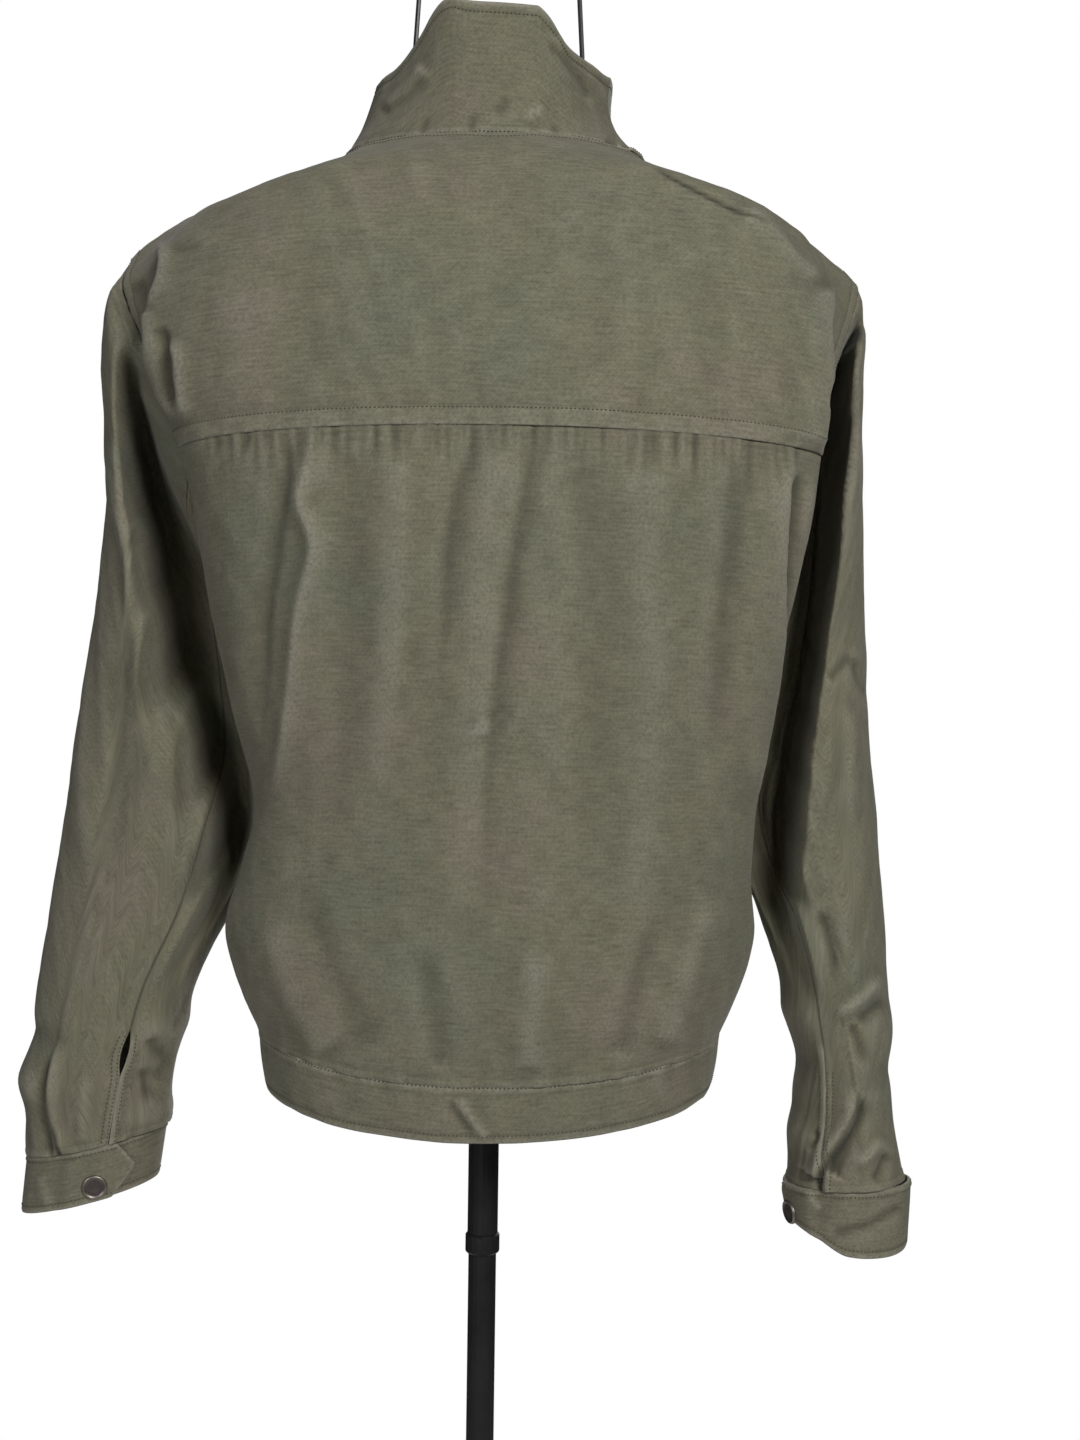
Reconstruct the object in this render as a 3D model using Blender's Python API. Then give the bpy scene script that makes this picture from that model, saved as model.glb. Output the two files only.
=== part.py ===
"""A utility jacket on a limbless dress form, on a round foot, in metres with +Z up.

The back of the jacket faces -Y, and the wearer's right is +X.  The origin is the centre of the
foot's underside.  The cloth is one garment surface, lofted through rows and rings from the short
tables below, and cut along its seams into the pieces that a maker sews.  Each piece becomes a
wall of cloth that stops just short of its seams.
"""

import math

import bmesh
import bpy
import numpy as np
from mathutils import Matrix, Vector

MM = 0.001

# Sizes in millimetres.
WALL = 1.8            # thickness of the cloth walls
SEAM_GAP = 0.3        # space between two pieces at a seam
LAP = 18.0            # how far each front runs past the centre line
LAP_DEPTH = 4.3       # how far the left front lies under the right one
LAP_START = 54.0      # where the left front begins to go under
BAND_HEIGHT = 32.0    # hem band
BAND_LEAN = 4.0       # how far its lower edge draws in
GATHERS = 40          # tucks drawn up along the yoke seam
GATHER_DEPTH = 1.1
GATHER_FADE = 26.0    # how far the tucks run down the back
CUFF_TAB = 30.0       # length of the cuff's end that laps over the other
CUFF_LAP_RISE = 2.5   # how far the lapped end stands off the cuff under it
WRIST_RADIUS = 38.0   # mean radius of the cuffs
SLIT_GAP = 4.0        # how far the sleeve slit stands open at its middle
SNAP_RADIUS = 7.5
SNAP_HEIGHT = 2.2

# Points of the garment's frame.  The right shoulder hangs lower than the left one.
NAPE = (0.0, -66.0, 1402.0)
NECK_FRONT = (0.0, 80.0, 1362.0)
NECK_SIDE = {"left": (94.0, -3.0, 1406.0), "right": (94.0, -3.0, 1403.0)}
SHOULDER_FOLD = {"left": (190.0, -1.0, 1368.0), "right": (188.0, -1.0, 1355.0)}
SHOULDER_TIP = {"left": (226.0, 0.0, 1341.0), "right": (221.0, 0.0, 1334.0)}
PULL_LIMIT = 1.4                   # keeps the curves between rows from swinging out
RIDGE_LEAVE = (0.0, 0.80, -0.34)   # how the cloth leaves the shoulder seam, front or back

# Columns of one half of the back, from the centre to the armhole or side seam.
NECK_PARTS = 5        # along the neck
SHOULDER_PARTS = 6    # from the neck to the line where the back folds round
SIDE_PARTS = 3        # from that fold to the armhole or side seam
FRONT_NECK_PARTS = 4
FRONT_SHOULDER_PARTS = SHOULDER_PARTS + SIDE_PARTS
LAP_PARTS = 1

# Rows of the back, top down.  mid: centre back.  fold: where the back folds round to the side.
# side: the armhole, then the side seam.  _l and _r: the left and right halves.
BACK_COLUMNS = ("name", "at", "parts", "y_mid", "z_mid", "fold_l", "fold_r", "y_fold", "z_fold",
                "side_l", "side_r", "y_side", "z_side")
BACK_ROWS = (
    ("nape", 20, 2, -80, 1388, 188, 186, -32, 1353, 228, 223, -13, 1326),
    ("shoulder", 50, 2, -97, 1362, 196, 194, -50, 1333, 221, 217, -27, 1306),
    ("blade", 92, 2, -111, 1324, 201, 199, -60, 1304, 210, 209, -43, 1287),
    ("armhole", 140, 2, -121, 1276, 199, 198, -65, 1266, 200, 201, -56, 1264),
    ("yoke", 195, 2, -125, 1220.5, 181, 193, -66, 1215, 178, 187, -51, 1215),
    ("panel", 224, 1, -124.5, 1193, 175, 190, -62, 1190, 172, 178, -30, 1188),
    ("panel_2", 245, 1, -124, 1173, 172, 187, -60, 1171, 168, 173, -13, 1167),
    ("underarm", 258, 1, -123, 1160, 170, 185, -58, 1160, 165, 170, 0, 1160),
    ("ribs", 300, 1, -120, 1120, 163, 178, -54, 1120, 153, 155, 3, 1121),
    ("waist", 360, 2, -115, 1060, 150, 168, -50, 1060, 138, 145, 6, 1061),
    ("pinch", 420, 2, -111, 1000, 138, 160, -44, 1000, 130, 141, 8, 1001),
    ("blouse", 455, 1, -109.5, 965, 147, 159, -38, 965, 138, 147, 8, 967),
    ("fullest", 492, 1, -108, 928, 157, 162, -30, 930, 150, 154, 6, 932),
    ("draw", 535, 1, -105, 885, 146, 151, -30, 891, 144, 148, 4, 896),
    ("hem", 569, 1, -99, 850.5, 133, 138, -32, 864, 140, 145, 2, 872),
)

# Rows of the fronts, top down to the underarm; below it they share the back's side seam.
# full: 0 where the cloth runs nearly straight from armhole to centre, 1 where it stands out square.
FRONT_COLUMNS = ("name", "full", "y_mid", "z_mid", "side_l", "side_r", "y_side", "z_side")
FRONT_ROWS = (
    ("collarbone", 0.0, 84, 1349, 226, 224, 13, 1328),
    ("shoulder", 0.2, 91, 1328, 218, 216, 27, 1308),
    ("chest", 0.5, 101, 1296, 205, 204, 42, 1287),
    ("armhole", 0.75, 109, 1262, 193, 194, 53, 1264),
    ("bust", 0.9, 115, 1224, 180, 185, 50, 1222),
    ("bust_2", 1.0, 118, 1193, 173, 178, 30, 1190),
    ("bust_3", 1.0, 119, 1171, 168, 173, 13, 1167),
    ("underarm", 1.0, 119, 1160, 165, 170, 0, 1160),
    ("ribs", 1.0, 118, 1120, None, None, None, None),
    ("waist", 1.0, 114, 1060, None, None, None, None),
    ("pinch", 1.0, 110, 1000, None, None, None, None),
    ("blouse", 1.0, 109, 965, None, None, None, None),
    ("fullest", 1.0, 108, 928, None, None, None, None),
    ("draw", 1.0, 105, 885, None, None, None, None),
    ("hem", 1.0, 99, 850.5, None, None, None, None),
)

# Rings of the sleeves below the armhole: the outer and inner points, the middle and half depth
# along Y, how far the back of the ring lies above its middle, and the turn of the sleeve seams.
# ridge: the angle where the empty sleeve folds over at its back.  hollow: how far it turns in there.
RING_COLUMNS = ("name", "parts", "x_out", "z_out", "x_in", "z_in", "y_mid", "depth", "lift", "turn",
                "ridge", "hollow")
SLEEVE_LEFT = (
    ("cap", 1, 237, 1322, 168, 1145, 1, 62, 0, 0, 58, 0.35),
    ("cap_2", 1, 242, 1288, 166, 1126, 4, 64, 0, 0, 58, 0.8),
    ("bicep", 1, 241, 1240, 161, 1104, 8, 63, 0, 0, 58, 1.0),
    ("bicep_2", 1, 240, 1196, 156, 1082, 10, 61, 0, 0, 66, 1.0),
    ("upper", 2, 246, 1140, 149, 1056, 12, 59, 0, 0, 78, 1.0),
    ("elbow", 2, 256, 1070, 143, 1024, 14, 57, 0, 0, 103, 1.0),
    ("elbow_2", 2, 264, 1010, 142, 985, 14, 55, 0, 0, 120, 1.0),
    ("forearm", 2, 274, 945, 157, 944, 14, 50, 0, 0, 132, 0.5),
    ("wrist", 2, 281, 885, 183, 890, 10, 44, 0, -4, 132, 0),
    ("wrist_2", 2, 286, 825, 196, 832, 6, 40, 0, -8, 132, 0),
    ("cuff_seam", 2, 284, 785, 199, 805, 4, 36, 0, -14, 132, 0),
)
SLEEVE_RIGHT = (
    ("cap", 1, 228.5, 1314, 175, 1146, 5, 58, 0, 0, 79, 0.3),
    ("cap_2", 1, 229.5, 1280, 179, 1128, 12, 57, 0, 0, 80, 0.85),
    ("bicep", 1, 231, 1236, 176, 1106, 18, 56, 0, 0, 82, 1.0),
    ("bicep_2", 1, 232.5, 1194, 171, 1084, 20, 56, 0, 0, 83, 1.0),
    ("upper", 2, 234, 1136, 163, 1058, 21, 56, 0, 0, 87, 1.0),
    ("elbow", 2, 237, 1070, 154, 1024, 20, 56, 0, 0, 97, 1.0),
    ("elbow_2", 2, 243, 1010, 153, 985, 18, 54, 0, 0, 106, 1.0),
    ("forearm", 2, 248, 945, 169, 944, 14, 50, 0, 0, 118, 0.5),
    ("wrist", 2, 251, 885, 187, 886, 8, 45, 0, 0, 118, 0),
    ("wrist_2", 2, 254, 826, 193, 822, 4, 41, 0, 0, 118, 0),
    ("cuff_seam", 2, 261, 779, 189, 776, 0, 37, 0, 0, 118, 0),
)
CUFF_LEFT = (
    ("top", 1, 284, 784, 199, 804, 4, 34, 0, 0, 90, 0),
    ("bottom", 2, 287, 750, 203, 772, 4, 32, 0, 0, 90, 0),
)
CUFF_RIGHT = (
    ("top", 1, 265, 777, 187, 775, 0, 35, 0, 0, 90, 0),
    ("bottom", 2, 264, 741, 191, 747, 0, 33, -7, 0, 90, 0),
)
SLEEVE_SEAM_BACK = 122.0    # degrees round the sleeve from its outer line
SLEEVE_SEAM_FRONT = 215.0
HOLLOW_TURN = 14.0          # degrees in which the sleeve turns in past its ridge
HOLLOW_END = 165.0          # where the hollow ends, and over how many degrees
HOLLOW_EASE = 26.0
HOLLOW_PAST = 0.2           # how far it goes past the middle, as a share of the half depth
SLIT_TOP = 868.0            # height of the slit's upper end
CUFF_TIP_AT = {"left": 128.0, "right": 183.0}   # where the upper end stops, past the back
CUFF_PARTS = 28
CUFF_RISE_OVER = 14.0       # degrees in which the upper end rises onto the lower one

# Sections of the collar from the right front edge round the back to the left.  at: share of the
# way.  up: height.  in_: how far it leans to the neck at a third, two thirds and all of its
# height.  spread: how far the end leans away from the centre front.
COLLAR_COLUMNS = ("name", "at", "up", "in_low", "in_mid", "in_top", "spread")
COLLAR_SECTIONS = (
    ("right_end", 0.0, 52, -3, -12, -22, 24),
    ("right_front", 0.11, 60, 3, 1, -6, 10),
    ("right_rise", 0.21, 66, 12, 17, 16, 2),
    ("right_side", 0.28, 52, 18, 26, 25, 0),
    ("right_dip", 0.35, 48, 15, 21, 20, 0),
    ("right_turn", 0.405, 54, 7, 9, 9, 0),
    ("back_right", 0.455, 73, 1, -1, -4, 0),
    ("back_left", 0.545, 74, 1, -1, -4, 0),
    ("left_turn", 0.6, 58, 4, 6, 8, 0),
    ("left_dip", 0.66, 47, 7, 11, 15, 0),
    ("left_side", 0.74, 47, 9, 15, 19, 0),
    ("left_front", 0.89, 57, 3, 1, -6, 10),
    ("left_end", 1.0, 52, -3, -12, -22, 24),
)
COLLAR_PARTS = 6
COLLAR_CENTRE_Y = 8.0

# The largest folds.  half: which surface.  left, right: reach on each side of the line, looking
# down it.  height: out of the cloth, or into it below zero.  line: (x, z) points down the fold.
FOLD_PARTS = 8
FOLD_COLUMNS = ("half", "left", "right", "height", "line")
FOLDS = (
    ("back", 16, 12, 6.5, ((-106, 1220), (-102, 1160), (-108, 1085), (-116, 1036), (-128, 990))),
    ("back", 14, 14, -5.0, ((-126, 1200), (-130, 1140), (-132, 1080), (-138, 1030))),
    ("back", 18, 18, -3.0, ((-6, 1225), (-14, 1150), (-24, 1060))),
    ("back", 16, 16, -3.0, ((52, 1215), (60, 1100), (52, 980), (48, 930))),
    ("back", 14, 20, 3.5, ((26, 1225), (16, 1120), (10, 1020), (2, 900))),
    ("back", 12, 22, 5.0, ((172, 1205), (168, 1110), (162, 1040), (156, 1000))),
    ("back", 14, 14, -4.5, ((182, 1240), (184, 1200), (180, 1150))),
    ("back", 16, 16, -3.5, ((-60, 980), (-40, 930), (-20, 900))),
    ("front", 18, 18, 5.0, ((-90, 1200), (-96, 1100), (-92, 1000), (-100, 930))),
    ("front", 18, 18, 5.0, ((92, 1190), (98, 1090), (90, 990), (98, 930))),
    ("front", 16, 16, -3.5, ((-50, 1080), (-58, 990), (-50, 920))),
    ("front", 16, 16, -3.5, ((54, 1070), (58, 980), (52, 915))),
    ("left", 12, 16, 4.0, ((-236, 1215), (-228, 1150), (-216, 1080), (-206, 1030))),
    ("left", 14, 14, -3.0, ((-246, 905), (-262, 870), (-268, 830))),
    ("right", 10, 10, -4.0, ((208, 1095), (218, 1080), (226, 1092))),
    ("right", 10, 12, 3.5, ((246, 905), (230, 890), (214, 880))),
    ("right", 10, 10, -3.0, ((228, 880), (236, 850), (240, 820))),
)

# Sections of the dress form, from its cut-off hip to the top of its neck.
FORM_COLUMNS = ("z", "half_width", "y_back", "y_front")
FORM_SECTIONS = (
    (878, 118, -74, 80),
    (884, 124, -80, 86),
    (930, 124, -82, 88),
    (1000, 112, -76, 80),
    (1050, 112, -80, 82),
    (1110, 128, -92, 94),
    (1170, 144, -101, 102),
    (1230, 152, -104, 101),
    (1280, 160, -100, 92),
    (1318, 166, -90, 82),
    (1338, 160, -80, 74),
    (1356, 138, -68, 62),
    (1370, 108, -56, 50),
    (1381, 80, -48, 44),
    (1394, 63, -44, 42),
    (1424, 60, -42, 42),
    (1432, 54, -37, 37),
)
FORM_SIDES = 32

FOOT_RADIUS = 170.0
FOOT_HEIGHT = 8.0
HUB_RADIUS = 22.0
HUB_TOP = 46.0
POLE_RADIUS_LOW = 8.6
POLE_RADIUS_HIGH = 9.4
COUPLING_LOW = 728.0
COUPLING_HIGH = 740.0
COUPLING_RADIUS = 10.6
WIRE_RADIUS = 1.5
WIRE_FOOT = 54.0      # half the space between the wire's legs on the neck
WIRE_HALF_TOP = 48.0  # half its width where the arch begins
WIRE_ARCH = 1540.0
FRONT_SNAP_HEIGHTS = (1332.0, 1236.0, 1140.0, 1044.0, 948.0)
BAND_SNAP_AT = (0.0, 100.0, 835.0)
CUFF_SNAPS = (("left", (-234, 0, 773), (0, 1, 0)), ("right", (200, 0, 758), (0.75, 0.66, 0)))

CLOTH_COLOUR = (0.163, 0.152, 0.112, 1.0)
METAL_COLOUR = (0.06, 0.055, 0.05, 1.0)
STAND_COLOUR = (0.012, 0.012, 0.012, 1.0)
FORM_COLOUR = (0.03, 0.03, 0.03, 1.0)


# ------------------------------------------------------------------ curves and surfaces
def named(columns, rows):
    """The rows of a table as dictionaries."""
    return [dict(zip(columns, row)) for row in rows]


def smooth(x):
    """0 to 1 with level ends."""
    x = np.clip(x, 0.0, 1.0)
    return x * x * (3 - 2 * x)


def bezier(a, b, c, d, count=24):
    """Points along a cubic curve from a to d."""
    t = np.linspace(0, 1, count + 1)[:, None]
    a, b, c, d = (np.array(p, float) for p in (a, b, c, d))
    return (1 - t) ** 3 * a + 3 * (1 - t) ** 2 * t * b + 3 * (1 - t) * t * t * c + t ** 3 * d


def spaced(line, parts):
    """A polyline's points, evenly spaced into so many parts."""
    run = np.concatenate([[0], np.cumsum(np.linalg.norm(np.diff(line, axis=0), axis=1))])
    at = np.linspace(0, run[-1], parts + 1)
    return np.stack([np.interp(at, run, line[:, k]) for k in range(3)], axis=1)


def join(*lines):
    """Polylines that start where the last one ends, as one."""
    return np.concatenate([lines[0]] + [line[1:] for line in lines[1:]])


def slopes_through(knots, rows):
    """The slope of a smooth curve through the rows, at each row."""
    steps = np.diff(knots)[:, None, None]
    chords = np.diff(rows, axis=0) / steps
    middle = (chords[:-1] * steps[1:] + chords[1:] * steps[:-1]) / (steps[:-1] + steps[1:])
    return np.concatenate([chords[:1], middle, chords[-1:]])


def held_in(pull, chord):
    """A curve's pull at one end, no longer than PULL_LIMIT times the chord it spans."""
    size = np.linalg.norm(pull, axis=-1, keepdims=True)
    limit = PULL_LIMIT * np.linalg.norm(chord, axis=-1, keepdims=True)
    return pull * np.minimum(1, limit / np.maximum(size, 1e-9))


def loft(knots, rows, parts, leave, arrive):
    """Rows in between, on cubic curves that leave and arrive with the given slopes."""
    out = [rows[0]]
    for k in range(1, len(rows)):
        step, chord = knots[k] - knots[k - 1], rows[k] - rows[k - 1]
        first, last = held_in(step * leave[k - 1], chord), held_in(step * arrive[k], chord)
        for i in range(1, parts[k] + 1):
            u = i / parts[k]
            h = (2 * u ** 3 - 3 * u ** 2 + 1, u ** 3 - 2 * u ** 2 + u,
                 -2 * u ** 3 + 3 * u ** 2, u ** 3 - u ** 2)
            out.append(h[0] * rows[k - 1] + h[1] * first + h[2] * rows[k] + h[3] * last)
    return np.array(out)


# ------------------------------------------------------------------ the body of the jacket
def mirrored(line, side):
    """A line drawn for the half at +X, on the left or right half."""
    line = np.array(line, float)
    if side == "left":
        line[:, 0] *= -1
    return line


def top_row_back(side):
    """Half of the back's upper edge: the neck and then the shoulder seam."""
    side_point, fold, end = NECK_SIDE[side], SHOULDER_FOLD[side], SHOULDER_TIP[side]
    slope = (np.array(fold) - side_point) / 3
    neck = bezier(NAPE, (40, -66, 1402), (86, -40, 1404), side_point)
    seam = bezier(side_point, side_point + slope, fold - slope, fold)
    tip = bezier(fold, fold + slope * 0.4, (end[0] - 7, 0, end[2] + 9), end)
    return mirrored(join(spaced(neck, NECK_PARTS), spaced(seam, SHOULDER_PARTS),
                         spaced(tip, SIDE_PARTS)), side)


def top_row_front(side):
    """Half of a front's upper edge, from the armhole to the centre front."""
    seam = top_row_back(side)[NECK_PARTS:][::-1]
    neck = bezier(NECK_SIDE[side], (92, 34, 1400), (60, 74, 1366), NECK_FRONT)
    return join(seam, mirrored(spaced(neck, FRONT_NECK_PARTS), side))


def back_half_row(row, side):
    """One half of a row of the back, from the centre to the armhole or side seam."""
    fold_x, side_x = row["fold_" + side[0]], row["side_" + side[0]]
    mid = (0, row["y_mid"], row["z_mid"])
    fold = (fold_x, row["y_fold"], row["z_fold"])
    end = (side_x, row["y_side"], row["z_side"])
    rise = row["y_fold"] - row["y_mid"]
    across = bezier(mid, (0.62 * fold_x, row["y_mid"], row["z_mid"]),
                    (fold_x - 0.22 * rise, row["y_fold"] - 0.62 * rise, row["z_fold"]), fold)
    run = max(row["y_side"] - row["y_fold"], 1)
    round_it = bezier(fold, (fold_x + 0.12 * run, row["y_fold"] + 0.34 * run, row["z_fold"]),
                      (side_x + 0.06 * (fold_x - side_x), row["y_side"] - 0.34 * run,
                       row["z_side"]), end)
    return mirrored(join(spaced(across, NECK_PARTS + SHOULDER_PARTS),
                         spaced(round_it, SIDE_PARTS)), side)


def front_half_row(row, side):
    """One half of a row of the front, from the armhole or side seam to the centre front."""
    side_x, full, rise = row["side_" + side[0]], row["full"], row["y_mid"] - row["y_side"]
    start = np.array((side_x, row["y_side"], row["z_side"]))
    middle = np.array((0, row["y_mid"], row["z_mid"]))
    square = (side_x - 0.03 * rise, row["y_side"] + 0.55 * rise, row["z_side"])
    straight = start + (middle - start) * (0.28, 0.42, 0.65)
    across = middle + (0.55 * side_x, 0, 0) - (1 - full) * np.array((0, 0.14 * rise, 0))
    line = bezier(start, straight + (square - straight) * full, across, middle)
    return mirrored(spaced(line, FRONT_SHOULDER_PARTS + FRONT_NECK_PARTS), side)


def sheet(top, rows, knots, parts, edge_share, over_ridge, underarm):
    """Loft a panel.  edge_share is 1 in the column at the armhole and fades to 0 inwards;
    over_ridge gives the way off the shoulder seam along Y and how far each column follows it."""
    rows = np.array([top] + rows)
    slope = slopes_through(knots, rows)
    leave, arrive = slope.copy(), slope.copy()
    length = np.linalg.norm(slope[0], axis=1)[:, None]
    onto, ridge = over_ridge
    over = np.array(RIDGE_LEAVE) * (1, onto, 1) * length
    leave[0] = slope[0] * (1 - ridge[:, None]) + over * ridge[:, None]
    share = edge_share[:, None]
    below = (rows[underarm + 1] - rows[underarm]) / (knots[underarm + 1] - knots[underarm])
    level = np.zeros_like(below)
    level[:, 1] = (rows[underarm] - rows[underarm - 1])[:, 1] / (
        knots[underarm] - knots[underarm - 1])
    leave[underarm] = slope[underarm] * (1 - share) + below * share
    arrive[underarm] = slope[underarm] * (1 - share) + level * share
    return loft(knots, rows, parts, leave, arrive)


def body_grids():
    """The outer surface of the back and of both fronts, as rows of points."""
    table = named(BACK_COLUMNS, BACK_ROWS)
    knots = np.array([0.0] + [row["at"] for row in table])
    parts = [0] + [row["parts"] for row in table]
    underarm = 1 + [row["name"] for row in table].index("underarm")
    halves = {}
    for side in ("left", "right"):
        column = np.arange(NECK_PARTS + SHOULDER_PARTS + SIDE_PARTS + 1)
        edge = smooth((column - NECK_PARTS - SHOULDER_PARTS) / SIDE_PARTS)
        ridge = smooth((column - NECK_PARTS + 1) / 3)
        rows = [back_half_row(row, side) for row in table]
        halves[side] = sheet(top_row_back(side), rows, knots, parts, edge, (-1, ridge), underarm)
    back = np.concatenate([halves["left"][:, :0:-1], halves["right"]], axis=1)
    fronts = {}
    for side in ("left", "right"):
        rows = []
        for row, back_row in zip(named(FRONT_COLUMNS, FRONT_ROWS), table):
            if row["side_l"] is None:
                for key in ("side_l", "side_r", "y_side", "z_side"):
                    row[key] = back_row[key]
            rows.append(front_half_row(row, side))
        column = np.arange(FRONT_SHOULDER_PARTS + FRONT_NECK_PARTS + 1)
        edge = smooth(1 - column / SIDE_PARTS)
        ridge = smooth((FRONT_SHOULDER_PARTS + 1 - column) / 3)
        grid = sheet(top_row_front(side), rows, knots, parts, edge, (1, ridge), underarm)
        fronts[side] = lapped(grid, side)
    return back, fronts


def lapped(grid, side):
    """A front, run past the centre line, with the left one let in under the right."""
    toward = -1 if side == "right" else 1
    extra = []
    for i in range(1, LAP_PARTS + 1):
        column = grid[:, -1].copy()
        column[:, 0] += toward * LAP * i / LAP_PARTS
        column[:, 1] -= 0.3 * i / LAP_PARTS
        extra.append(column[:, None])
    grid = np.concatenate([grid] + extra, axis=1)
    if side == "left":
        under = smooth((grid[..., 0] + LAP_START) / (LAP_START - LAP - 4))
        facing = smooth((grid[..., 1] - 40) / 30)
        out = np.cross(np.gradient(grid, axis=1), np.gradient(grid, axis=0))
        out /= np.linalg.norm(out, axis=2)[..., None]
        grid -= out * (LAP_DEPTH * under * facing)[..., None]
    return grid


# ------------------------------------------------------------------ sleeves, collar and band
def ring_points(ring, angles, side):
    """A ring of a sleeve or cuff, at angles from its outer line round its back."""
    turn = np.radians(np.array(angles) + ring["turn"] * np.sin(np.radians(angles) / 2) ** 2)
    across = (1 + np.cos(turn)) / 2
    x = ring["x_in"] + (ring["x_out"] - ring["x_in"]) * across
    z = ring["z_in"] + (ring["z_out"] - ring["z_in"]) * across + ring["lift"] * np.sin(turn)
    round_it = np.mod(angles, 360)
    fold = smooth((round_it - ring["ridge"]) / HOLLOW_TURN) * smooth(
        (HOLLOW_END - round_it) / HOLLOW_EASE)
    y = ring["y_mid"] - ring["depth"] * (
        np.sin(turn) - ring["hollow"] * fold * (np.sin(turn) + HOLLOW_PAST))
    return mirrored(np.stack([x, y, z], axis=1), side)


def armhole_angles(ring, half_count):
    """How far round the sleeve each point of the armhole stands, in degrees."""
    run = np.concatenate([[0], np.cumsum(np.linalg.norm(np.diff(ring, axis=0), axis=1))])
    back = 180 * run[:half_count] / run[half_count - 1]
    front = 180 + 180 * (run[half_count:] - run[half_count - 1]) / (run[-1] - run[half_count - 1])
    return np.concatenate([back, front])


def sleeve_grid(armhole, half_count, side):
    """A sleeve's rings, the armhole first.  Its columns run round from the shoulder tip."""
    angles = armhole_angles(armhole, half_count)
    table = named(RING_COLUMNS, SLEEVE_LEFT if side == "left" else SLEEVE_RIGHT)
    rows = np.array([armhole] + [ring_points(ring, angles, side) for ring in table])
    middles = rows.mean(axis=1)
    knots = np.concatenate([[0], np.cumsum(np.linalg.norm(np.diff(middles, axis=0), axis=1))])
    slope = slopes_through(knots, rows)
    return loft(knots, rows, [0] + [ring["parts"] for ring in table], slope, slope), angles


def cuff_grid(side):
    """A cuff: a strip once round the wrist, its pointed end lapped over the other."""
    top, bottom = named(RING_COLUMNS, CUFF_LEFT if side == "left" else CUFF_RIGHT)
    tip = CUFF_TIP_AT[side]
    lap = math.degrees(CUFF_TAB / WRIST_RADIUS)
    angles = np.linspace(tip - 360 - lap, tip, CUFF_PARTS + 1)
    over = smooth((angles - tip + lap + CUFF_RISE_OVER) / CUFF_RISE_OVER)
    rows = []
    for share in (0.0, 0.5, 1.0):
        ring = {key: top[key] + (bottom[key] - top[key]) * share
                for key in RING_COLUMNS[2:]}
        middle = np.array([(ring["x_out"] + ring["x_in"]) / 2, ring["y_mid"], 0])
        points = ring_points(ring, angles % 360, "right")
        away = points - middle
        away[:, 2] = 0
        away /= np.linalg.norm(away, axis=1)[:, None]
        points += away * (CUFF_LAP_RISE * over)[:, None]
        rows.append(points)
    grid = np.array(rows)
    grid[1, -1] += grid[1, -1] - grid[1, -2]
    return mirrored(grid.reshape(-1, 3), side).reshape(grid.shape)


def collar_grid(neck):
    """The collar above the neck seam, which runs from the right front to the left."""
    run = np.concatenate([[0], np.cumsum(np.linalg.norm(np.diff(neck, axis=0), axis=1))])
    share = run / run[-1]
    table = named(COLLAR_COLUMNS, COLLAR_SECTIONS)
    at = np.array([section["at"] for section in table])
    values = np.array([[[section[key]] for key in COLLAR_COLUMNS[2:]] for section in table])
    slope = slopes_through(at, values)
    found = []
    for s in share:
        k = min(np.searchsorted(at, s, side="right"), len(at) - 1)
        part = loft(at[k - 1:k + 1], values[k - 1:k + 1], [0, 100], slope[k - 1:k + 1],
                    slope[k - 1:k + 1])
        found.append(part[int(round(100 * (s - at[k - 1]) / (at[k] - at[k - 1])))][:, 0])
    up, low, mid, high, spread = np.array(found).T
    inwards = np.array([0, COLLAR_CENTRE_Y, 0]) - neck
    inwards[:, 2] = 0
    inwards /= np.linalg.norm(inwards, axis=1)[:, None]
    away = np.sign(0.5 - share)
    rows = []
    for i in range(COLLAR_PARTS + 1):
        h = i / COLLAR_PARTS
        lean = np.array([np.interp(h, (0, 1 / 3, 2 / 3, 1), (0, a, b, c))
                         for a, b, c in zip(low, mid, high)])
        row = neck + inwards * lean[:, None]
        row[:, 0] += away * spread * h * h
        row[:, 2] += up * h
        rows.append(row)
    return np.array(rows)


def band_grid(hem):
    """The hem band, hung from the lower edge of the body."""
    rows = []
    for share in (0.0, 0.5, 1.0):
        row = hem.copy()
        inwards = -hem * np.array([1, 1, 0])
        inwards /= np.linalg.norm(inwards, axis=1)[:, None]
        row += inwards * BAND_LEAN * share ** 2
        row[:, 2] -= BAND_HEIGHT * share
        rows.append(row)
    return np.array(rows)


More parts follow.
